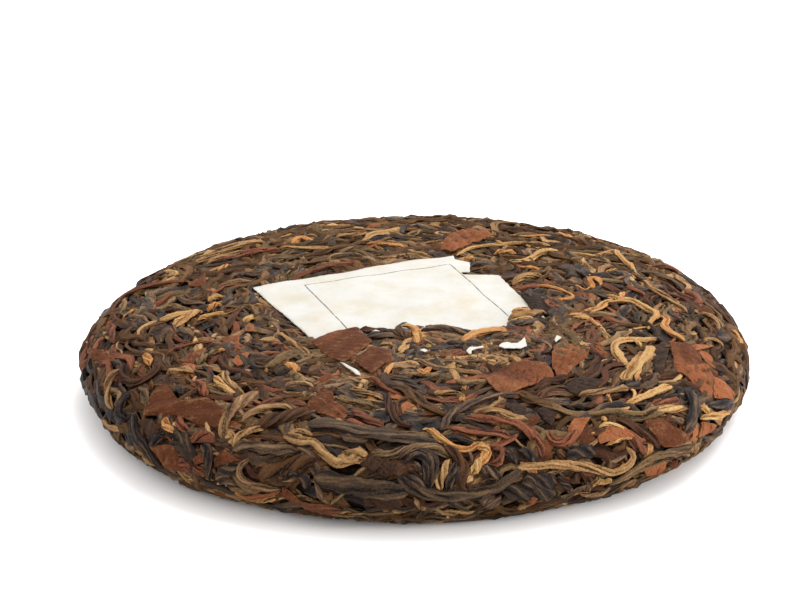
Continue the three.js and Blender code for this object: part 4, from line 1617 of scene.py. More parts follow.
    ("right_black_bar", BLACK, 2.0, (704, 404, 719, 405, 734, 405), 0.1, 0.7),
    ("red_curl", RED, 1.7, (547, 430, 552, 441, 563, 444, 573, 438, 582, 428), 0.8, 0.5),
    ("hooked_strand", TAN, 1.6, (
        518, 469, 550, 467, 574, 465, 597, 470, 612, 472, 627, 466, 633, 455, 626, 446), 0.7, 0.75),
    ("right_brown_strap", BROWN, 2.0, (615, 419, 633, 426, 658, 447), 0.3, 0.55),
    ("right_low_strand", OLIVE, 2.2, (611, 486, 635, 469, 658, 455, 681, 448, 693, 445), 0.6, 0.65),
    ("rim_maroon", RED, 2.0, (110, 313, 119, 299, 133, 291, 154, 284, 184, 280), 0.2, 0.5),
    ("rim_red", RED, 1.2, (211, 261, 234, 256, 265, 250), 0.6),
    ("rim_tan", TAN, 1.5, (194, 261, 217, 253, 240, 245, 265, 240), 0.8),
    ("tan_dash_back", GOLD, 1.0, (604, 269, 612, 269, 619, 268), 0.3),
    ("olive_curl_right", TAN, 1.1, (704, 340, 714, 338, 726, 345), 0.6),
    ("rim_maroon_right", RED, 1.8, (652, 265, 669, 267, 681, 272), 0.2, 0.5),
    ("tan_by_corner", GOLD, 1.8, (245, 322, 250, 318, 254, 315), 0.4, 0.5),
    ("thin_by_knot", OLIVE, 0.9, (130, 374, 136, 368, 143, 362), 0.7, 0.7),
    ("red_arc", RED, 1.5, (517, 424, 531, 433, 540, 446, 543, 460), 0.5),
    ("star_twig_knot", GOLD, 2.2, (567, 314, 578, 316, 592, 318), 0.4, 0.4),
    ("forked_bud_foot", GOLD, 1.4, (641, 364, 638, 372, 637, 381), 0.3, 0.5),
    ("forked_bud_finger", GOLD, 0.8, (634, 339, 641, 345), 0.3),
    ("nest_second", BLACK, 1.6, (404, 463, 412, 456, 422, 458, 427, 466, 426, 476, 424, 484), 0.1),
    ("nest_thin", BLACK, 1.1, (459, 465, 456, 478, 453, 487), 0.1, 0.7),
    ("nest_core", OLIVE, 1.2, (411, 463, 417, 466, 421, 471), 0.1),
    ("nest_low", BLACK, 1.6, (405, 476, 417, 482, 426, 488), 0.2),
    ("snake_head", GOLD, 2.3, (477, 445, 485, 449, 487, 457), 0.5, 0.5),
    ("snake_tail", GOLD, 2.0, (485, 459, 478, 466, 472, 475), 0.3, 0.5),
    ("tan_fan", TAN, 3.4, (338, 458, 352, 457, 367, 452), 0.9, 0.35),
    ("tan_arch", TAN, 1.3, (289, 434, 301, 431, 313, 433), 0.9),
    ("tan_twig", TAN, 1.2, (431, 391, 452, 391, 464, 396), 0.9),
    ("orange_dot", GOLD, 1.6, (461, 384, 467, 386), 1.0),
    ("orange_dot_low", GOLD, 1.6, (461, 397, 466, 400), 1.0),
    ("left_notch_loop", BLACK, 1.6, (173, 392, 180, 389, 187, 393), 0.2),
    ("left_notch_tan", TAN, 1.3, (184, 399, 191, 396), 0.6),
    ("left_notch_red", RED, 1.9, (190, 382, 201, 384, 205, 394), 0.8, 0.5),
    ("left_tan_wave", TAN, 1.3, (222, 369, 229, 381, 244, 389), 0.7),
    ("left_gold_grain", GOLD, 1.2, (219, 351, 224, 350), 0.4),
    ("left_foot_orange", TAN, 1.2, (99, 419, 108, 426, 120, 432), 0.9),
    ("left_foot_tan", TAN, 1.2, (131, 450, 142, 459, 155, 467), 0.9),
    # Painted highlight: thin pale strands along the foot's bottom edge, where that edge catches light from
    # the floor.
    ("foot_edge_left", TAN, 0.8, (327, 514, 347, 515, 368, 515), 0.9),
    ("foot_edge_middle", TAN, 0.7, (380, 514, 400, 515, 421, 516), 0.8),
    ("foot_edge_right", TAN, 0.7, (432, 516, 455, 516, 477, 514), 0.8),
    ("foot_tan_bar", TAN, 1.4, (414, 499, 420, 506, 426, 514), 0.2),
    ("foot_red_chip", RED, 1.8, (530, 501, 537, 503), 0.6, 0.5),
    ("fold_edge_upper", GOLD, 0.7, (598, 428, 609, 424, 626, 431), 0.3),
    ("fold_edge_lower", GOLD, 0.7, (608, 444, 620, 439, 632, 436), 0.3),
    ("fold_tail", RED, 1.8, (628, 437, 636, 446, 645, 452), 0.3, 0.5),
    ("fold_tip", GOLD, 1.2, (603, 416, 605, 423), 0.3),
    ("right_gold_chip", GOLD, 1.9, (698, 408, 706, 409), 0.3, 0.5),
    ("ribbon_tip", GOLD, 1.6, (655, 411, 669, 409, 683, 406), 0.2, 0.5),
    ("right_rim_red", RED, 2.0, (668, 463, 675, 461), 0.5, 0.4),
    ("right_rim_twist", TAN, 1.6, (684, 452, 692, 446, 694, 452), 0.5),
    ("low_right_black", BLACK, 1.6, (560, 478, 568, 487, 574, 494), 0.2),
    ("low_right_brown", BROWN, 2.0, (580, 474, 576, 486), 0.3, 0.5),
    ("low_right_tan", TAN, 1.4, (599, 476, 596, 486), 0.6),
    ("low_right_gold", GOLD, 1.2, (606, 481, 612, 479), 0.2),
    ("low_right_olive", OLIVE, 2.0, (586, 486, 592, 492), 0.4, 0.5),
    ("foot_right_tan", TAN, 1.4, (580, 495, 598, 495, 614, 490), 0.2, 0.5),
    ("foot_right_rim", TAN, 1.6, (618, 489, 628, 484, 637, 481), 0.3, 0.5),
))


class NodeDraft:
    """A short way to place and join the nodes of one tree."""

    def __init__(self, tree: bpy.types.NodeTree) -> None:
        """Takes the tree that nodes go into."""
        self.tree = tree

    def fill(self, socket: Socket, value: object) -> None:
        """Joins another node's output to a socket, or sets the socket's own value.

        Args:
            socket: The socket.
            value: An output or a plain value.
        """
        if isinstance(value, Socket):
            self.tree.links.new(value, socket)
        else:
            socket.default_value = value

    def node(self, kind: str, inputs: dict | None = None, **settings: object) -> bpy.types.Node:
        """Places a node.

        Args:
            kind: The node's type.
            inputs: Values, or outputs of other nodes, by the input's name or number.
            **settings: The node's own settings.

        Returns:
            The node.
        """
        made = self.tree.nodes.new(kind)
        for name, value in settings.items():
            setattr(made, name, value)
        for key, value in (inputs or {}).items():
            self.fill(made.inputs[key], value)
        return made

    def math(self, operation: str, *values: object) -> Socket:
        """Output of a Math node on values or outputs."""
        made = self.node("ShaderNodeMath", dict(enumerate(values)), operation=operation)
        return made.outputs[0]

    def vector(self, operation: str, inputs: dict) -> Socket:
        """Output of a Vector Math node."""
        return self.node("ShaderNodeVectorMath", inputs, operation=operation).outputs[0]

    def span(self, value: object, low: float, high: float, to_low: float = 0, to_high: float = 1) -> Socket:
        """A value carried smoothly from one range to another."""
        made = self.node(
            "ShaderNodeMapRange",
            {"Value": value, "From Min": low, "From Max": high, "To Min": to_low, "To Max": to_high},
            interpolation_type="SMOOTHSTEP",
        )
        return made.outputs["Result"]

    def mix(self, share: object, first: object, second: object) -> Socket:
        """A mix of two colours.

        Args:
            share: Share of the second colour.
            first: The first colour.
            second: The second colour.

        Returns:
            The mixed colour.
        """
        made = self.node("ShaderNodeMix", data_type="RGBA")
        colours = [socket for socket in made.inputs if socket.type == "RGBA"]
        for socket, value in zip((made.inputs["Factor"], *colours), (share, first, second)):
            self.fill(socket, value)
        return next(socket for socket in made.outputs if socket.type == "RGBA")

    def noise(self, vector: object, scale: float, detail: float, roughness: float = 0.55) -> Socket:
        """Values of a noise texture."""
        inputs = {"Vector": vector, "Scale": scale, "Detail": detail, "Roughness": roughness}
        return self.node("ShaderNodeTexNoise", inputs).outputs[0]

    def attribute(self, name: str) -> Socket:
        """Values of a piece's own attribute."""
        return self.node("ShaderNodeAttribute", attribute_name=name).outputs["Fac"]


class MaterialDraft(NodeDraft):
    """A new material with its shader."""

    def __init__(self, name: str) -> None:
        """Starts the material.

        Args:
            name: Its name.
        """
        self.made = bpy.data.materials.new(name)
        self.made.use_nodes = True
        super().__init__(self.made.node_tree)
        self.shader = self.tree.nodes["Principled BSDF"]

    def feed(self, **inputs: object) -> None:
        """Gives the shader outputs or plain values, by the names of its inputs."""
        for name, value in inputs.items():
            self.fill(self.shader.inputs[SHADER_INPUTS[name]], value)

    def bump(self, height: Socket, strength: float, depth: float) -> None:
        """Bumps the surface by a height that is some millimetres deep."""
        made = self.node("ShaderNodeBump", {"Height": height, "Strength": strength, "Distance": depth * MM})
        self.feed(normal=made.outputs[0])


class SharedEffects:
    """Node groups that several finishes use, where a noise is its scale, detail and roughness."""

    GRAIN_OUTPUTS = ("Streak", "Fibre", "Mottle", "Drift", "Height")
    STREAK_NOISE = (1.0, 3.0, 0.6)
    MOTTLE_NOISE = (1.0, 5.0, 0.65)
    FIBRE_NOISE = (1.0, 2.0, 0.5)
    FIBRE_STRETCH = (3.5, 1.6, 1.0)
    DRIFT_NOISE = (0.09, 1.0)
    STREAK_HEIGHT = 0.5
    MOTTLE_HEIGHT = 0.3
    FIBRE_HEIGHT = 0.2
    HUE_DRIFT = (1.2, -0.6)
    HUE_SPAN = (0.1, 0.9)
    # Dark streaks and painted shade: how the streaks and the ridge value bring in the deep colour.
    DARK_STREAK_AND_SHADE = (2.1, -1.3)
    DARK_STREAK_AND_SHADE_SPAN = (0.05, 0.7)
    # Golden hairs and painted highlight: how the streaks, ridge value and shade bring in the crest colour.
    STREAK_CREST = 1.5
    RIDGE_CREST = 0.6
    SHADE_CREST = (0.4, -0.2)
    CREST_SPAN = (1.1, 1.5)
    HAIR_SPAN = (0.54, 0.74)
    HAIR_ON_RIDGE = (0.25, 0.8)
    SHADE_LIGHT = (0.6, 0.7)
    MOTTLE_LIGHT = (0.7, 1.3)

    def __init__(self) -> None:
        """Builds the groups."""
        self.grain = self.grain_group()
        self.colour = self.colour_group()

    @staticmethod
    def group(name: str, inputs: dict[str, str], outputs: dict[str, str]) -> tuple[NodeDraft, dict, object]:
        """Starts a node group.

        Args:
            name: Its name.
            inputs: Socket types by input name.
            outputs: Socket types by output name.

        Returns:
            A draft of its tree, its inputs by name, and its output node.
        """
        tree = bpy.data.node_groups.new(name, "ShaderNodeTree")
        for names, way in ((inputs, "INPUT"), (outputs, "OUTPUT")):
            for socket, kind in names.items():
                tree.interface.new_socket(socket, in_out=way, socket_type=kind)
        draft = NodeDraft(tree)
        entry = tree.nodes.new("NodeGroupInput")
        leave = tree.nodes.new("NodeGroupOutput")
        return draft, {socket.name: socket for socket in entry.outputs if socket.name}, leave

    def grain_group(self) -> bpy.types.NodeTree:
        """Long streaks and small mottling along a leaf, in its own grain map.

        Returns:
            The group.
        """
        draft, entry, leave = self.group(
            "leaf_grain",
            {"Along": "NodeSocketFloat", "Across": "NodeSocketFloat", "Speckle": "NodeSocketFloat"},
            {name: "NodeSocketFloat" for name in self.GRAIN_OUTPUTS},
        )
        grain = draft.node("ShaderNodeUVMap", uv_map=GRAIN_MAP).outputs[0]
        stretch = draft.node("ShaderNodeCombineXYZ", {"X": entry["Along"], "Y": entry["Across"]}).outputs[0]
        drawn = draft.vector("MULTIPLY", {0: grain, 1: stretch})
        streak = draft.noise(drawn, *self.STREAK_NOISE)
        dotted = draft.vector("SCALE", {0: grain, "Scale": entry["Speckle"]})
        mottle = draft.noise(dotted, *self.MOTTLE_NOISE)
        short = draft.vector("MULTIPLY", {0: drawn, 1: self.FIBRE_STRETCH})
        fibre = draft.noise(short, *self.FIBRE_NOISE)
        drift = draft.noise(grain, *self.DRIFT_NOISE)
        height = draft.math("MULTIPLY", mottle, self.MOTTLE_HEIGHT)
        height = draft.math("MULTIPLY_ADD", streak, self.STREAK_HEIGHT, height)
        height = draft.math("MULTIPLY_ADD", fibre, self.FIBRE_HEIGHT, height)
        for name, value in zip(self.GRAIN_OUTPUTS, (streak, fibre, mottle, drift, height)):
            draft.fill(leave.inputs[name], value)
        return draft.tree

    def colour_group(self) -> bpy.types.NodeTree:
        """Colour of a leaf from its grain, its own tone and shade, and how far a place stands out, with
        painted shade in its grooves and on its underside and a painted highlight on its upper crests.

        Returns:
            The group.
        """
        colours = {name: "NodeSocketColor" for name in ("Deep And Shade", "Body", "Other", "Crest And Highlight")}
        values = {name: "NodeSocketFloat" for name in ("Streak", "Fibre", "Mottle", "Drift", "Crest Amount")}
        draft, entry, leave = self.group("leaf_colour", {**colours, **values}, {"Colour": "NodeSocketColor"})
        tone, shade, ridge_and_shade = (draft.attribute(name) for name in (TONE, SHADE, RIDGE_AND_SHADE))
        hue = draft.math("ADD", tone, draft.math("MULTIPLY_ADD", entry["Drift"], *self.HUE_DRIFT))
        body = draft.mix(draft.span(hue, *self.HUE_SPAN), entry["Body"], entry["Other"])
        # The deep colour: partly the leaf's own dark streaks, partly painted shade in its grooves and on its
        # underside.
        groove = draft.math("ADD", draft.math("MULTIPLY_ADD", entry["Streak"], *self.DARK_STREAK_AND_SHADE), ridge_and_shade)
        groove = draft.math("ADD", groove, entry["Mottle"])
        colour = draft.mix(draft.span(groove, *self.DARK_STREAK_AND_SHADE_SPAN), entry["Deep And Shade"], body)
        # The crest colour: partly golden hairs and tips, partly a painted highlight on the upper crests.
        crest = draft.math("MULTIPLY", entry["Streak"], self.STREAK_CREST)
        crest = draft.math("MULTIPLY_ADD", ridge_and_shade, self.RIDGE_CREST, crest)
        crest = draft.math("ADD", crest, draft.math("MULTIPLY_ADD", shade, *self.SHADE_CREST))
        crest = draft.math("MULTIPLY", draft.span(crest, *self.CREST_SPAN), entry["Crest Amount"])
        colour = draft.mix(crest, colour, entry["Crest And Highlight"])
        hair = draft.span(entry["Fibre"], *self.HAIR_SPAN)
        hair = draft.math("MULTIPLY", hair, draft.span(ridge_and_shade, 0.0, 1.0, *self.HAIR_ON_RIDGE))
        colour = draft.mix(draft.math("MULTIPLY", hair, entry["Crest Amount"]), colour, entry["Crest And Highlight"])
        light = draft.span(entry["Mottle"], *MOTTLE_SPAN, *self.MOTTLE_LIGHT)
        light = draft.math("MULTIPLY", draft.math("MULTIPLY_ADD", shade, *self.SHADE_LIGHT), light)
        draft.fill(leave.inputs["Colour"], draft.vector("SCALE", {0: colour, "Scale": light}))
        return draft.tree


@dataclass(frozen=True)
class LeafFinish:
    """The look of one kind of leaf."""

    # Partly the leaf's dark streaks, partly painted shade in its grooves and on its underside.
    deep: str
    body: str
    other: str
    # Partly golden hairs and tips, partly a painted highlight on the upper crests.
    crest: str
    crest_amount: float = 0.5
    along: float = 0.22
    across: float = 2.2
    speckle: float = 2.2
    roughness: tuple[float, float] = (0.5, 0.8)
    bump: float = 1.0
    gloss: float = 0.04
    bump_depth: float = 0.9

    def material(self, name: str, effects: SharedEffects) -> bpy.types.Material:
        """Builds the material.

        Args:
            name: Its name.
            effects: The shared node groups.

        Returns:
            The material.
        """
        draft = MaterialDraft(name)
        weave = {"Along": self.along, "Across": self.across, "Speckle": self.speckle}
        grain = draft.node("ShaderNodeGroup", weave, node_tree=effects.grain).outputs
        colours = {"Deep And Shade": self.deep, "Body": self.body, "Other": self.other, "Crest And Highlight": self.crest}
        inputs = {socket: pictured(value, LEAF_SHARE) for socket, value in colours.items()}
        inputs |= {socket: grain[socket] for socket in ("Streak", "Fibre", "Mottle", "Drift")}
        inputs["Crest Amount"] = self.crest_amount
        colour = draft.node("ShaderNodeGroup", inputs, node_tree=effects.colour).outputs["Colour"]
        rough = draft.span(grain["Mottle"], *MOTTLE_SPAN, *self.roughness)
        draft.feed(colour=colour, roughness=rough, gloss=self.gloss)
        draft.bump(grain["Height"], self.bump, self.bump_depth)
        return draft.made


# Of each finish's four colours the first is partly dark streaks and partly painted shade, the last partly
# golden hairs and partly a painted highlight.
FINISHES = {
    BLACK: LeafFinish("17110f", "3e3231", "624d3c", "b2895c", 0.55, roughness=(0.35, 0.6), gloss=0.06),
    BROWN: LeafFinish("22150d", "603d2c", "785534", "9f6f49", 0.45),
    OLIVE: LeafFinish("30231a", "705748", "95754d", "d4a77b", 0.6),
    TAN: LeafFinish("4b3622", "a87c5a", "d39f67", "ffd08e", 0.65),
    GOLD: LeafFinish("9d6736", "fbc17d", "ffab64", "ffeda5", 0.5),
    RED: LeafFinish("3b2016", "8b573f", "ad6749", "dd8e62", 0.4),
    STEM: LeafFinish("381b0f", "7a4830", "8e5a39", "b67749", 0.5, roughness=(0.45, 0.65)),
    CRUMB: LeafFinish("1f130b", "563926", "805938", "a5774a", 0.5),
    RED_FLAKE: LeafFinish(
        "5c3420", "7b462c", "c4764b", "d89e6c", 0.4, along=0.5, across=1.1, speckle=2.4, bump=1.1, gloss=0.03
    ),
    DARK_FLAKE: LeafFinish(
        "1e140d", "453024", "5f402d", "8f674a", 0.4, along=0.5, across=1.1, speckle=2.4,
        roughness=(0.45, 0.75), bump=1.5, gloss=0.05,
    ),
}


@dataclass(frozen=True)
class DustFinish:
    """The dark, rough leaf dust of the core."""

    dark: str = "1c130d"
    light: str = "4a3524"
    specks: tuple[float, float] = (900.0, 4.0)
    speck_span: tuple[float, float] = (0.35, 0.75)
    roughness: float = 0.9
    gloss: float = 0.05
    bump: tuple[float, float] = (0.8, 0.5)

    def material(self, name: str) -> bpy.types.Material:
        """Builds the material.

        Args:
            name: Its name.

        Returns:
            The material.
        """
        draft = MaterialDraft(name)
        speck = draft.noise(draft.node("ShaderNodeTexCoord").outputs["Object"], *self.specks)
        dark, light = pictured(self.dark, LEAF_SHARE), pictured(self.light, LEAF_SHARE)
        colour = draft.mix(draft.span(speck, *self.speck_span), dark, light)
        draft.feed(colour=colour, roughness=self.roughness, gloss=self.gloss)
        draft.bump(speck, *self.bump)
        return draft.made


@dataclass(frozen=True)
class PaperFinish:
    """Off-white paper with faint tea stains, fibres and a thin printed frame."""

    clean: str = "fcf9f2"
    stained: str = "f3e9d2"
    straw: str = "c9b48e"
    ink: str = "4c4843"
    border: tuple[float, float, float, float] = (-16.6, 19.2, -40.0, 22.2)
    line: float = 0.2
    stains: tuple[float, float, float] = (0.11, 5.0, 0.65)
    stain_span: tuple[float, float] = (0.38, 0.7)
    fibres: tuple[float, float, float] = (2.2, 5.0, 0.7)
    fibre_span: tuple[float, float, float, float] = (0.55, 0.8, 0, 0.1)
    wear: tuple[float, float] = (0.8, 3.0)
    wear_span: tuple[float, float, float, float] = (0.3, 0.6, 0.5, 1.0)
    roughness: float = 0.8
    bump: tuple[float, float] = (0.25, 0.1)

    def material(self, name: str) -> bpy.types.Material:
        """Builds the material, in the paper's own two directions.

        Args:
            name: Its name.

        Returns:
            The material.
        """
        draft = MaterialDraft(name)
        clean, stained, straw, ink = (
            pictured(colour, PAPER_SHARE) for colour in (self.clean, self.stained, self.straw, self.ink)
        )
        own = draft.node("ShaderNodeUVMap", uv_map=GRAIN_MAP).outputs[0]
        paper = draft.mix(draft.span(draft.noise(own, *self.stains), *self.stain_span), clean, stained)
        fibre = draft.noise(own, *self.fibres)
        paper = draft.mix(draft.span(fibre, *self.fibre_span), paper, straw)
        line = draft.span(draft.math("ABSOLUTE", self.from_frame(draft, own)), self.line, self.line * 0.5)
        worn = draft.math("MULTIPLY", line, draft.span(draft.noise(own, *self.wear), *self.wear_span))
        draft.feed(colour=draft.mix(worn, paper, ink), roughness=self.roughness)
        draft.bump(fibre, *self.bump)
        return draft.made

    def from_frame(self, draft: NodeDraft, own: Socket) -> Socket:
        """How far places lie outside the printed frame.

        Args:
            draft: The material's draft.
            own: Places in the paper's own two directions.

        Returns:
            Distances, negative inside the frame.
        """
        parts = draft.node("ShaderNodeSeparateXYZ", {0: own}).outputs
        gaps = []
        for part, low, high in zip(parts, self.border[::2], self.border[1::2]):
            away = draft.math("ABSOLUTE", draft.math("SUBTRACT", part, (low + high) / 2))
            gaps.append(draft.math("SUBTRACT", away, (high - low) / 2))
        return draft.math("MAXIMUM", *gaps)


@dataclass
class TeaCake:
    """The cake: a dark core with thousands of pressed leaves on both faces."""

    form: CakeForm
    ticket: TicketForm
    camera: PhotoCamera
    effects: SharedEffects
    seed: int = SEED
    core_steps: int = 72
    core_drop: float = 0.05
    core_rough: float = 0.3
    core_skip: int = 6
    core_merge: float = 1e-6
    bar_tile: float = 3.3
    flake_tile: float = 2.0
    sharp_angle: float = math.radians(42)
    cover_leaves: int = 330
    cover_reach: float = 0.62
    cover_width: float = 0.6
    cover_back: float = 0.08
    cover_cells: int = 90
    cover_gap: float = 0.1
    cover_lift: tuple[float, float] = (1.5, 2.0)
    cover_dive: float = 0.5
    flake_thickness: float = 0.28
    flake_over: float = 0.8
    flake_rings: int = 8
    flake_around: int = 44
    strand_sides: tuple[int, int] = (10, 16)
    strand_over: float = 0.75
    strand_step: float = 0.8
    strand_dive: float = 0.5
    strand_proud: float = 0.3
    broad_strand: float = 1.4
    traced_shade: float = 0.5
    heaps: dict[Kind, MeshHeap] = field(default_factory=dict)

    def build(self) -> list[bpy.types.Object]:
        """Builds every piece of the cake.

        Returns:
            The pieces.
        """
        rng = np.random.default_rng(self.seed)
        for kind in Kind:
            self.heaps[kind] = MeshHeap(kind.value, self.bar_tile if kind in HABITS else self.flake_tile)
        paper = PaperFinish().material("ticket_paper")
        core = self.core(rng)
        self.lay_upper(rng)
        self.lay_lower(rng)
        pieces = [core]
        for kind, heap in self.heaps.items():
            piece = heap.build()
            finish = FINISHES.get(kind)
            piece.data.materials.append(finish.material(kind.value, self.effects) if finish else paper)
            piece.data.set_sharp_from_angle(angle=self.sharp_angle)
            pieces.append(piece)
        return pieces

    def core(self, rng: np.random.Generator) -> bpy.types.Object:
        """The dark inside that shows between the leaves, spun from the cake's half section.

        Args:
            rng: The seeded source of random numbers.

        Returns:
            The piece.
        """
        section = self.form.half_section()[0][::self.core_skip]
        shape = bmesh.new()
        rail = [shape.verts.new((radius * MM, 0, height * MM)) for radius, height in section]
        edges = [shape.edges.new(pair) for pair in zip(rail, rail[1:])]
        bmesh.ops.spin(
            shape, geom=rail + edges, cent=(0, 0, 0), axis=(0, 0, 1), angle=math.tau, steps=self.core_steps,
            use_merge=True, use_duplicate=False,
        )
        bmesh.ops.remove_doubles(shape, verts=shape.verts, dist=self.core_merge)
        bmesh.ops.recalc_face_normals(shape, faces=shape.faces)
        shape.normal_update()
        for vert in shape.verts:
            sink = self.core_drop + self.core_rough * rng.random()
            vert.co -= vert.normal * sink * MM
        mesh = mesh_of(shape, "tea_core")
        mesh.shade_smooth()
        mesh.materials.append(DustFinish().material("tea_dust"))
        return placed("tea_core", mesh)

    def lay_upper(self, rng: np.random.Generator) -> None:
        """Lays the leaves of the top and the flank.

        Args:
            rng: The seeded source of random numbers.
        """
        chart = Chart(self.form, Side.UPPER, self.ticket)
        layer = LeafLayer(chart, self.heaps, rng)
        under = LeafLayer(chart, self.heaps, rng, sides=6, station_gap=1.8)
        under.scatter({BLACK: 330, BROWN: 330, OLIVE: 270, RED: 120}, (0.3, 0.7), 0.25, SHREDS)
        layer.scatter_flakes(DARK_FLAKE, 45, (5, 12))
        layer.scatter_flakes(RED_FLAKE, 55, (5, 11))
        under.scatter({BLACK: 160, BROWN: 170, OLIVE: 170, TAN: 90}, (0.5, 0.9), 0.25, SHREDS)
        whole = {BLACK: 150, OLIVE: 150, BROWN: 135, TAN: 85, RED: 70, GOLD: 64, STEM: 16}
        layer.scatter(whole, (0.7, 1.2), 0.9)
        layer.scatter_bundles(62, (BLACK, OLIVE, BROWN, OLIVE, TAN, BROWN), (0.9, 1.3))
        layer.scatter_flakes(RED_FLAKE, 60, (4, 9))
        layer.scatter_flakes(DARK_FLAKE, 30, (4, 9))
        threads = {BROWN: 60, OLIVE: 60, TAN: 45, BLACK: 50, RED: 35, GOLD: 25}
        layer.scatter(threads, (1.0, 1.5), 0.4, THREADS)
        under.scatter({CRUMB: 300}, (0.8, 1.5), 0.1)
        self.lay_cover(layer)
        self.lay_traced(layer)
        under.fill_gaps((BROWN, BLACK, OLIVE, BROWN, RED), 0.9, FILLERS)

    def lay_cover(self, layer: LeafLayer) -> None:
        """Lays the leaves that cover the front of the ticket.

        Args:
            layer: The upper face's layer.
        """
        ticket, rng, reach, cells = self.ticket, layer.rng, self.cover_reach, self.cover_cells * 1j
        own = np.mgrid[-reach:reach:cells, -reach:reach:cells].reshape(2, -1).T
        grid = ticket.to_chart(own * [ticket.width, ticket.length])
        inside = grid[ticket.outside(grid) < 0]
        layer.chart.stamp(inside, ticket.wave(ticket.to_ticket(inside)) + self.cover_gap)
        kinds = (OLIVE, BROWN, BLACK, TAN, OLIVE, RED)
        for i in range(self.cover_leaves):
            across = rng.uniform(-self.cover_width, self.cover_width) * ticket.width
            along = rng.uniform(-reach, -self.cover_back) * ticket.length
            middle = ticket.to_chart(np.array([[across, along]]))[0]
            layer.lay(kinds[i % len(kinds)], middle, self.cover_lift, self.cover_dive, True)

    def lay_traced(self, layer: LeafLayer) -> None:
        """Lays the leaves that stand out in the photograph.

        Args:
            layer: The upper face's layer.
        """
        chart, top = layer.chart, layer.chart.press_top
        for flake in FLAKES:
            level = top + (self.flake_over if flake.over_ticket else 0.0)
            outline = self.camera.on_chart(chart, np.reshape(flake.pixels, (-1, 2)), level)
            thickness = self.ticket.thickness if flake.kind is SCRAP else self.flake_thickness
            layer.flake(
                flake.kind, outline, thickness, flake.crease, flake.curl, flake.over_ticket, self.flake_rings,
                self.flake_around, flake.tone, self.traced_shade, level,
            )
        for strand in STRANDS:
            level = top + (self.strand_over if strand.over_ticket else 0.0)
            points = self.camera.on_chart(chart, np.reshape(strand.pixels, (-1, 2)), top)
            route = layer.even_route(points, self.strand_step)
            sides = self.strand_sides[strand.width > self.broad_strand]
            habit = replace(HABITS[strand.kind], **TRACED_SHAPE)
            layer.rolled_leaf(
                strand.kind, route, strand.width, level, self.strand_dive, strand.over_ticket, strand.tone,
                strand.flatness, sides, habit, self.strand_proud, self.traced_shade,
            )

    def lay_lower(self, rng: np.random.Generator) -> None:
        """Lays the leaves of the underside, pressed flat by what the cake rests on.

        Args:
            rng: The seeded source of random numbers.
        """
        chart = Chart(self.form, Side.LOWER, self.ticket)
        layer = LeafLayer(chart, self.heaps, rng, sides=8, station_gap=1.6)
        under = LeafLayer(chart, self.heaps, rng, sides=6, station_gap=2.0)
        under.scatter({BLACK: 180, BROWN: 165, OLIVE: 120, RED: 90}, (0.0, 0.2), 0.2, SHREDS)
        layer.scatter_flakes(DARK_FLAKE, 25, (6, 13))
        layer.scatter_flakes(RED_FLAKE, 30, (6, 12))
        whole = {BLACK: 95, OLIVE: 90, BROWN: 85, TAN: 55, RED: 50, GOLD: 30, STEM: 10}
        layer.scatter(whole, (0.0, 0.35), 0.3)
        layer.scatter_bundles(28, (BLACK, OLIVE, BROWN, TAN), (0.0, 0.35))
        under.fill_gaps((BROWN, BLACK, RED, OLIVE, RED), 0.55, FILLERS)


@dataclass
class PaperTicket:
    """The paper ticket that is pressed into the top of the cake."""

    form: TicketForm
    chart: Chart
    cells: tuple[int, int] = (114, 116)
    overhang: float = 3.0
    fray: float = 0.06
    crumple: float = 0.1
    crumple_turns: tuple[float, float, float] = (0.55, 0.31, 0.47)

    def build(self, rng: np.random.Generator) -> bpy.types.Object:
        """Builds the sheet and dresses it.

        Args:
            rng: The seeded source of random numbers.

        Returns:
            The piece.
        """
        form = self.form
        shape = bmesh.new()
        bmesh.ops.create_grid(shape, x_segments=self.cells[0], y_segments=self.cells[1], size=0.5)
        for vert in shape.verts:
            vert.co.x *= form.width + self.overhang
            vert.co.y *= form.length + self.overhang
        faces = list(shape.faces)
        within = form.nearest_edge(np.array([face.calc_center_median()[:2] for face in faces]))[2]
        torn = [face for face, keep in zip(faces, within) if not keep]
        bmesh.ops.delete(shape, geom=torn, context="FACES")
        shape.normal_update()
        own = np.array([vert.co[:2] for vert in shape.verts])
        rim = np.array([vert.is_boundary for vert in shape.verts])
        own[rim] = form.nearest_edge(own[rim])[0] + rng.normal(0, self.fray, (int(rim.sum()), 2))
        maps = shape.loops.layers.uv.new(GRAIN_MAP)
        shape.verts.index_update()
        for face in shape.faces:
            for loop in face.loops:
                loop[maps].uv = own[loop.vert.index]
        points = form.to_chart(own)
        across, along = own.T
        wide, bend, deep = self.crumple_turns
        crumple = self.crumple * np.sin(across * wide + np.sin(along * bend)) * np.sin(along * deep + 1)
        places = self.chart.place(points, form.wave(own) + crumple) * MM
        for vert, place in zip(shape.verts, places):
            vert.co = place
        bmesh.ops.recalc_face_normals(shape, faces=shape.faces)
        mesh = mesh_of(shape, "paper_ticket")
        mesh.shade_smooth()
        mesh.materials.append(PaperFinish().material("ticket_paper"))
        piece = placed("paper_ticket", mesh)
        piece.modifiers.new("thickness", "SOLIDIFY").thickness = form.thickness * MM
        return piece


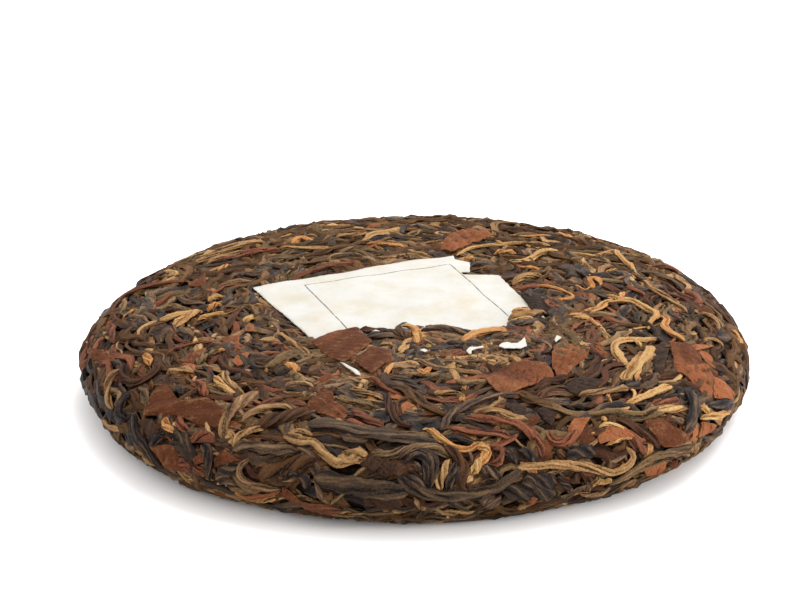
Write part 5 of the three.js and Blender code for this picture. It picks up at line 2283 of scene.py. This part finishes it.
@dataclass
class Studio:
    """Floor, light and camera, where a light is its power, its size and its place in metres."""

    camera: PhotoCamera
    floor_size: float = 6.0
    floor_colour: str = "e4e2e1"
    floor_roughness: float = 0.9
    nearest: float = 0.01
    world: float = 1.75
    key: tuple[float, float, tuple[float, float, float]] = (9.0, 0.7, (0.25, 0.35, 0.75))
    fill: tuple[float, float, tuple[float, float, float]] = (9.0, 0.4, (0.85, -0.18, 0.15))

    def build(self) -> None:
        """Sets up the whole studio."""
        self.floor()
        self.lights()
        self.place_camera()
        settings = bpy.context.scene.view_settings
        settings.view_transform = "Standard"
        settings.look = "None"

    def floor(self) -> None:
        """A plain pale floor."""
        shape = bmesh.new()
        bmesh.ops.create_grid(shape, x_segments=4, y_segments=4, size=self.floor_size / 2)
        floor = placed("floor", mesh_of(shape, "floor"))
        draft = MaterialDraft("pale_floor")
        draft.feed(colour=linear(self.floor_colour), roughness=self.floor_roughness)
        floor.data.materials.append(draft.made)

    def lights(self) -> None:
        """White surroundings, a large soft light above and behind, and a low one from the right."""
        world = bpy.data.worlds.new("studio")
        world.use_nodes = True
        sky = world.node_tree.nodes["Background"]
        sky.inputs["Color"].default_value = (1, 1, 1, 1)
        sky.inputs["Strength"].default_value = self.world
        bpy.context.scene.world = world
        for name, (power, size, place) in (("key", self.key), ("fill", self.fill)):
            lamp = bpy.data.lights.new(name, "AREA")
            lamp.energy = power
            lamp.size = size
            light = placed(name, lamp)
            light.location = place
            light.rotation_euler = (-Vector(place)).to_track_quat("-Z", "Y").to_euler()

    def place_camera(self) -> None:
        """The photograph's camera."""
        data = bpy.data.cameras.new("camera")
        data.lens = self.camera.lens
        data.sensor_width = self.camera.sensor
        data.clip_start = self.nearest
        made = placed("camera", data)
        made.location = Vector(self.camera.location * MM)
        right, up, forward = self.camera.axes()
        made.rotation_euler = Matrix((right, up, -forward)).transposed().to_euler()
        bpy.context.scene.camera = made


def main() -> None:
    """Builds the cake, its ticket and the studio."""
    logging.basicConfig(level=logging.INFO)
    camera = PhotoCamera()
    form, ticket = CakeForm(), TicketForm()
    cake = TeaCake(form, ticket, camera, SharedEffects())
    pieces = cake.build()
    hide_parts("tea_cake")
    paper = PaperTicket(ticket, Chart(form, Side.UPPER, ticket)).build(np.random.default_rng(SEED))
    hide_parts("ticket")
    for piece in (*pieces, paper):
        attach(piece, BODY)
        mesh = piece.data
        log.info("%s: %d triangles", piece.name, len(mesh.loops) - 2 * len(mesh.polygons))
    Studio(camera).build()


if __name__ == "__main__":
    main()
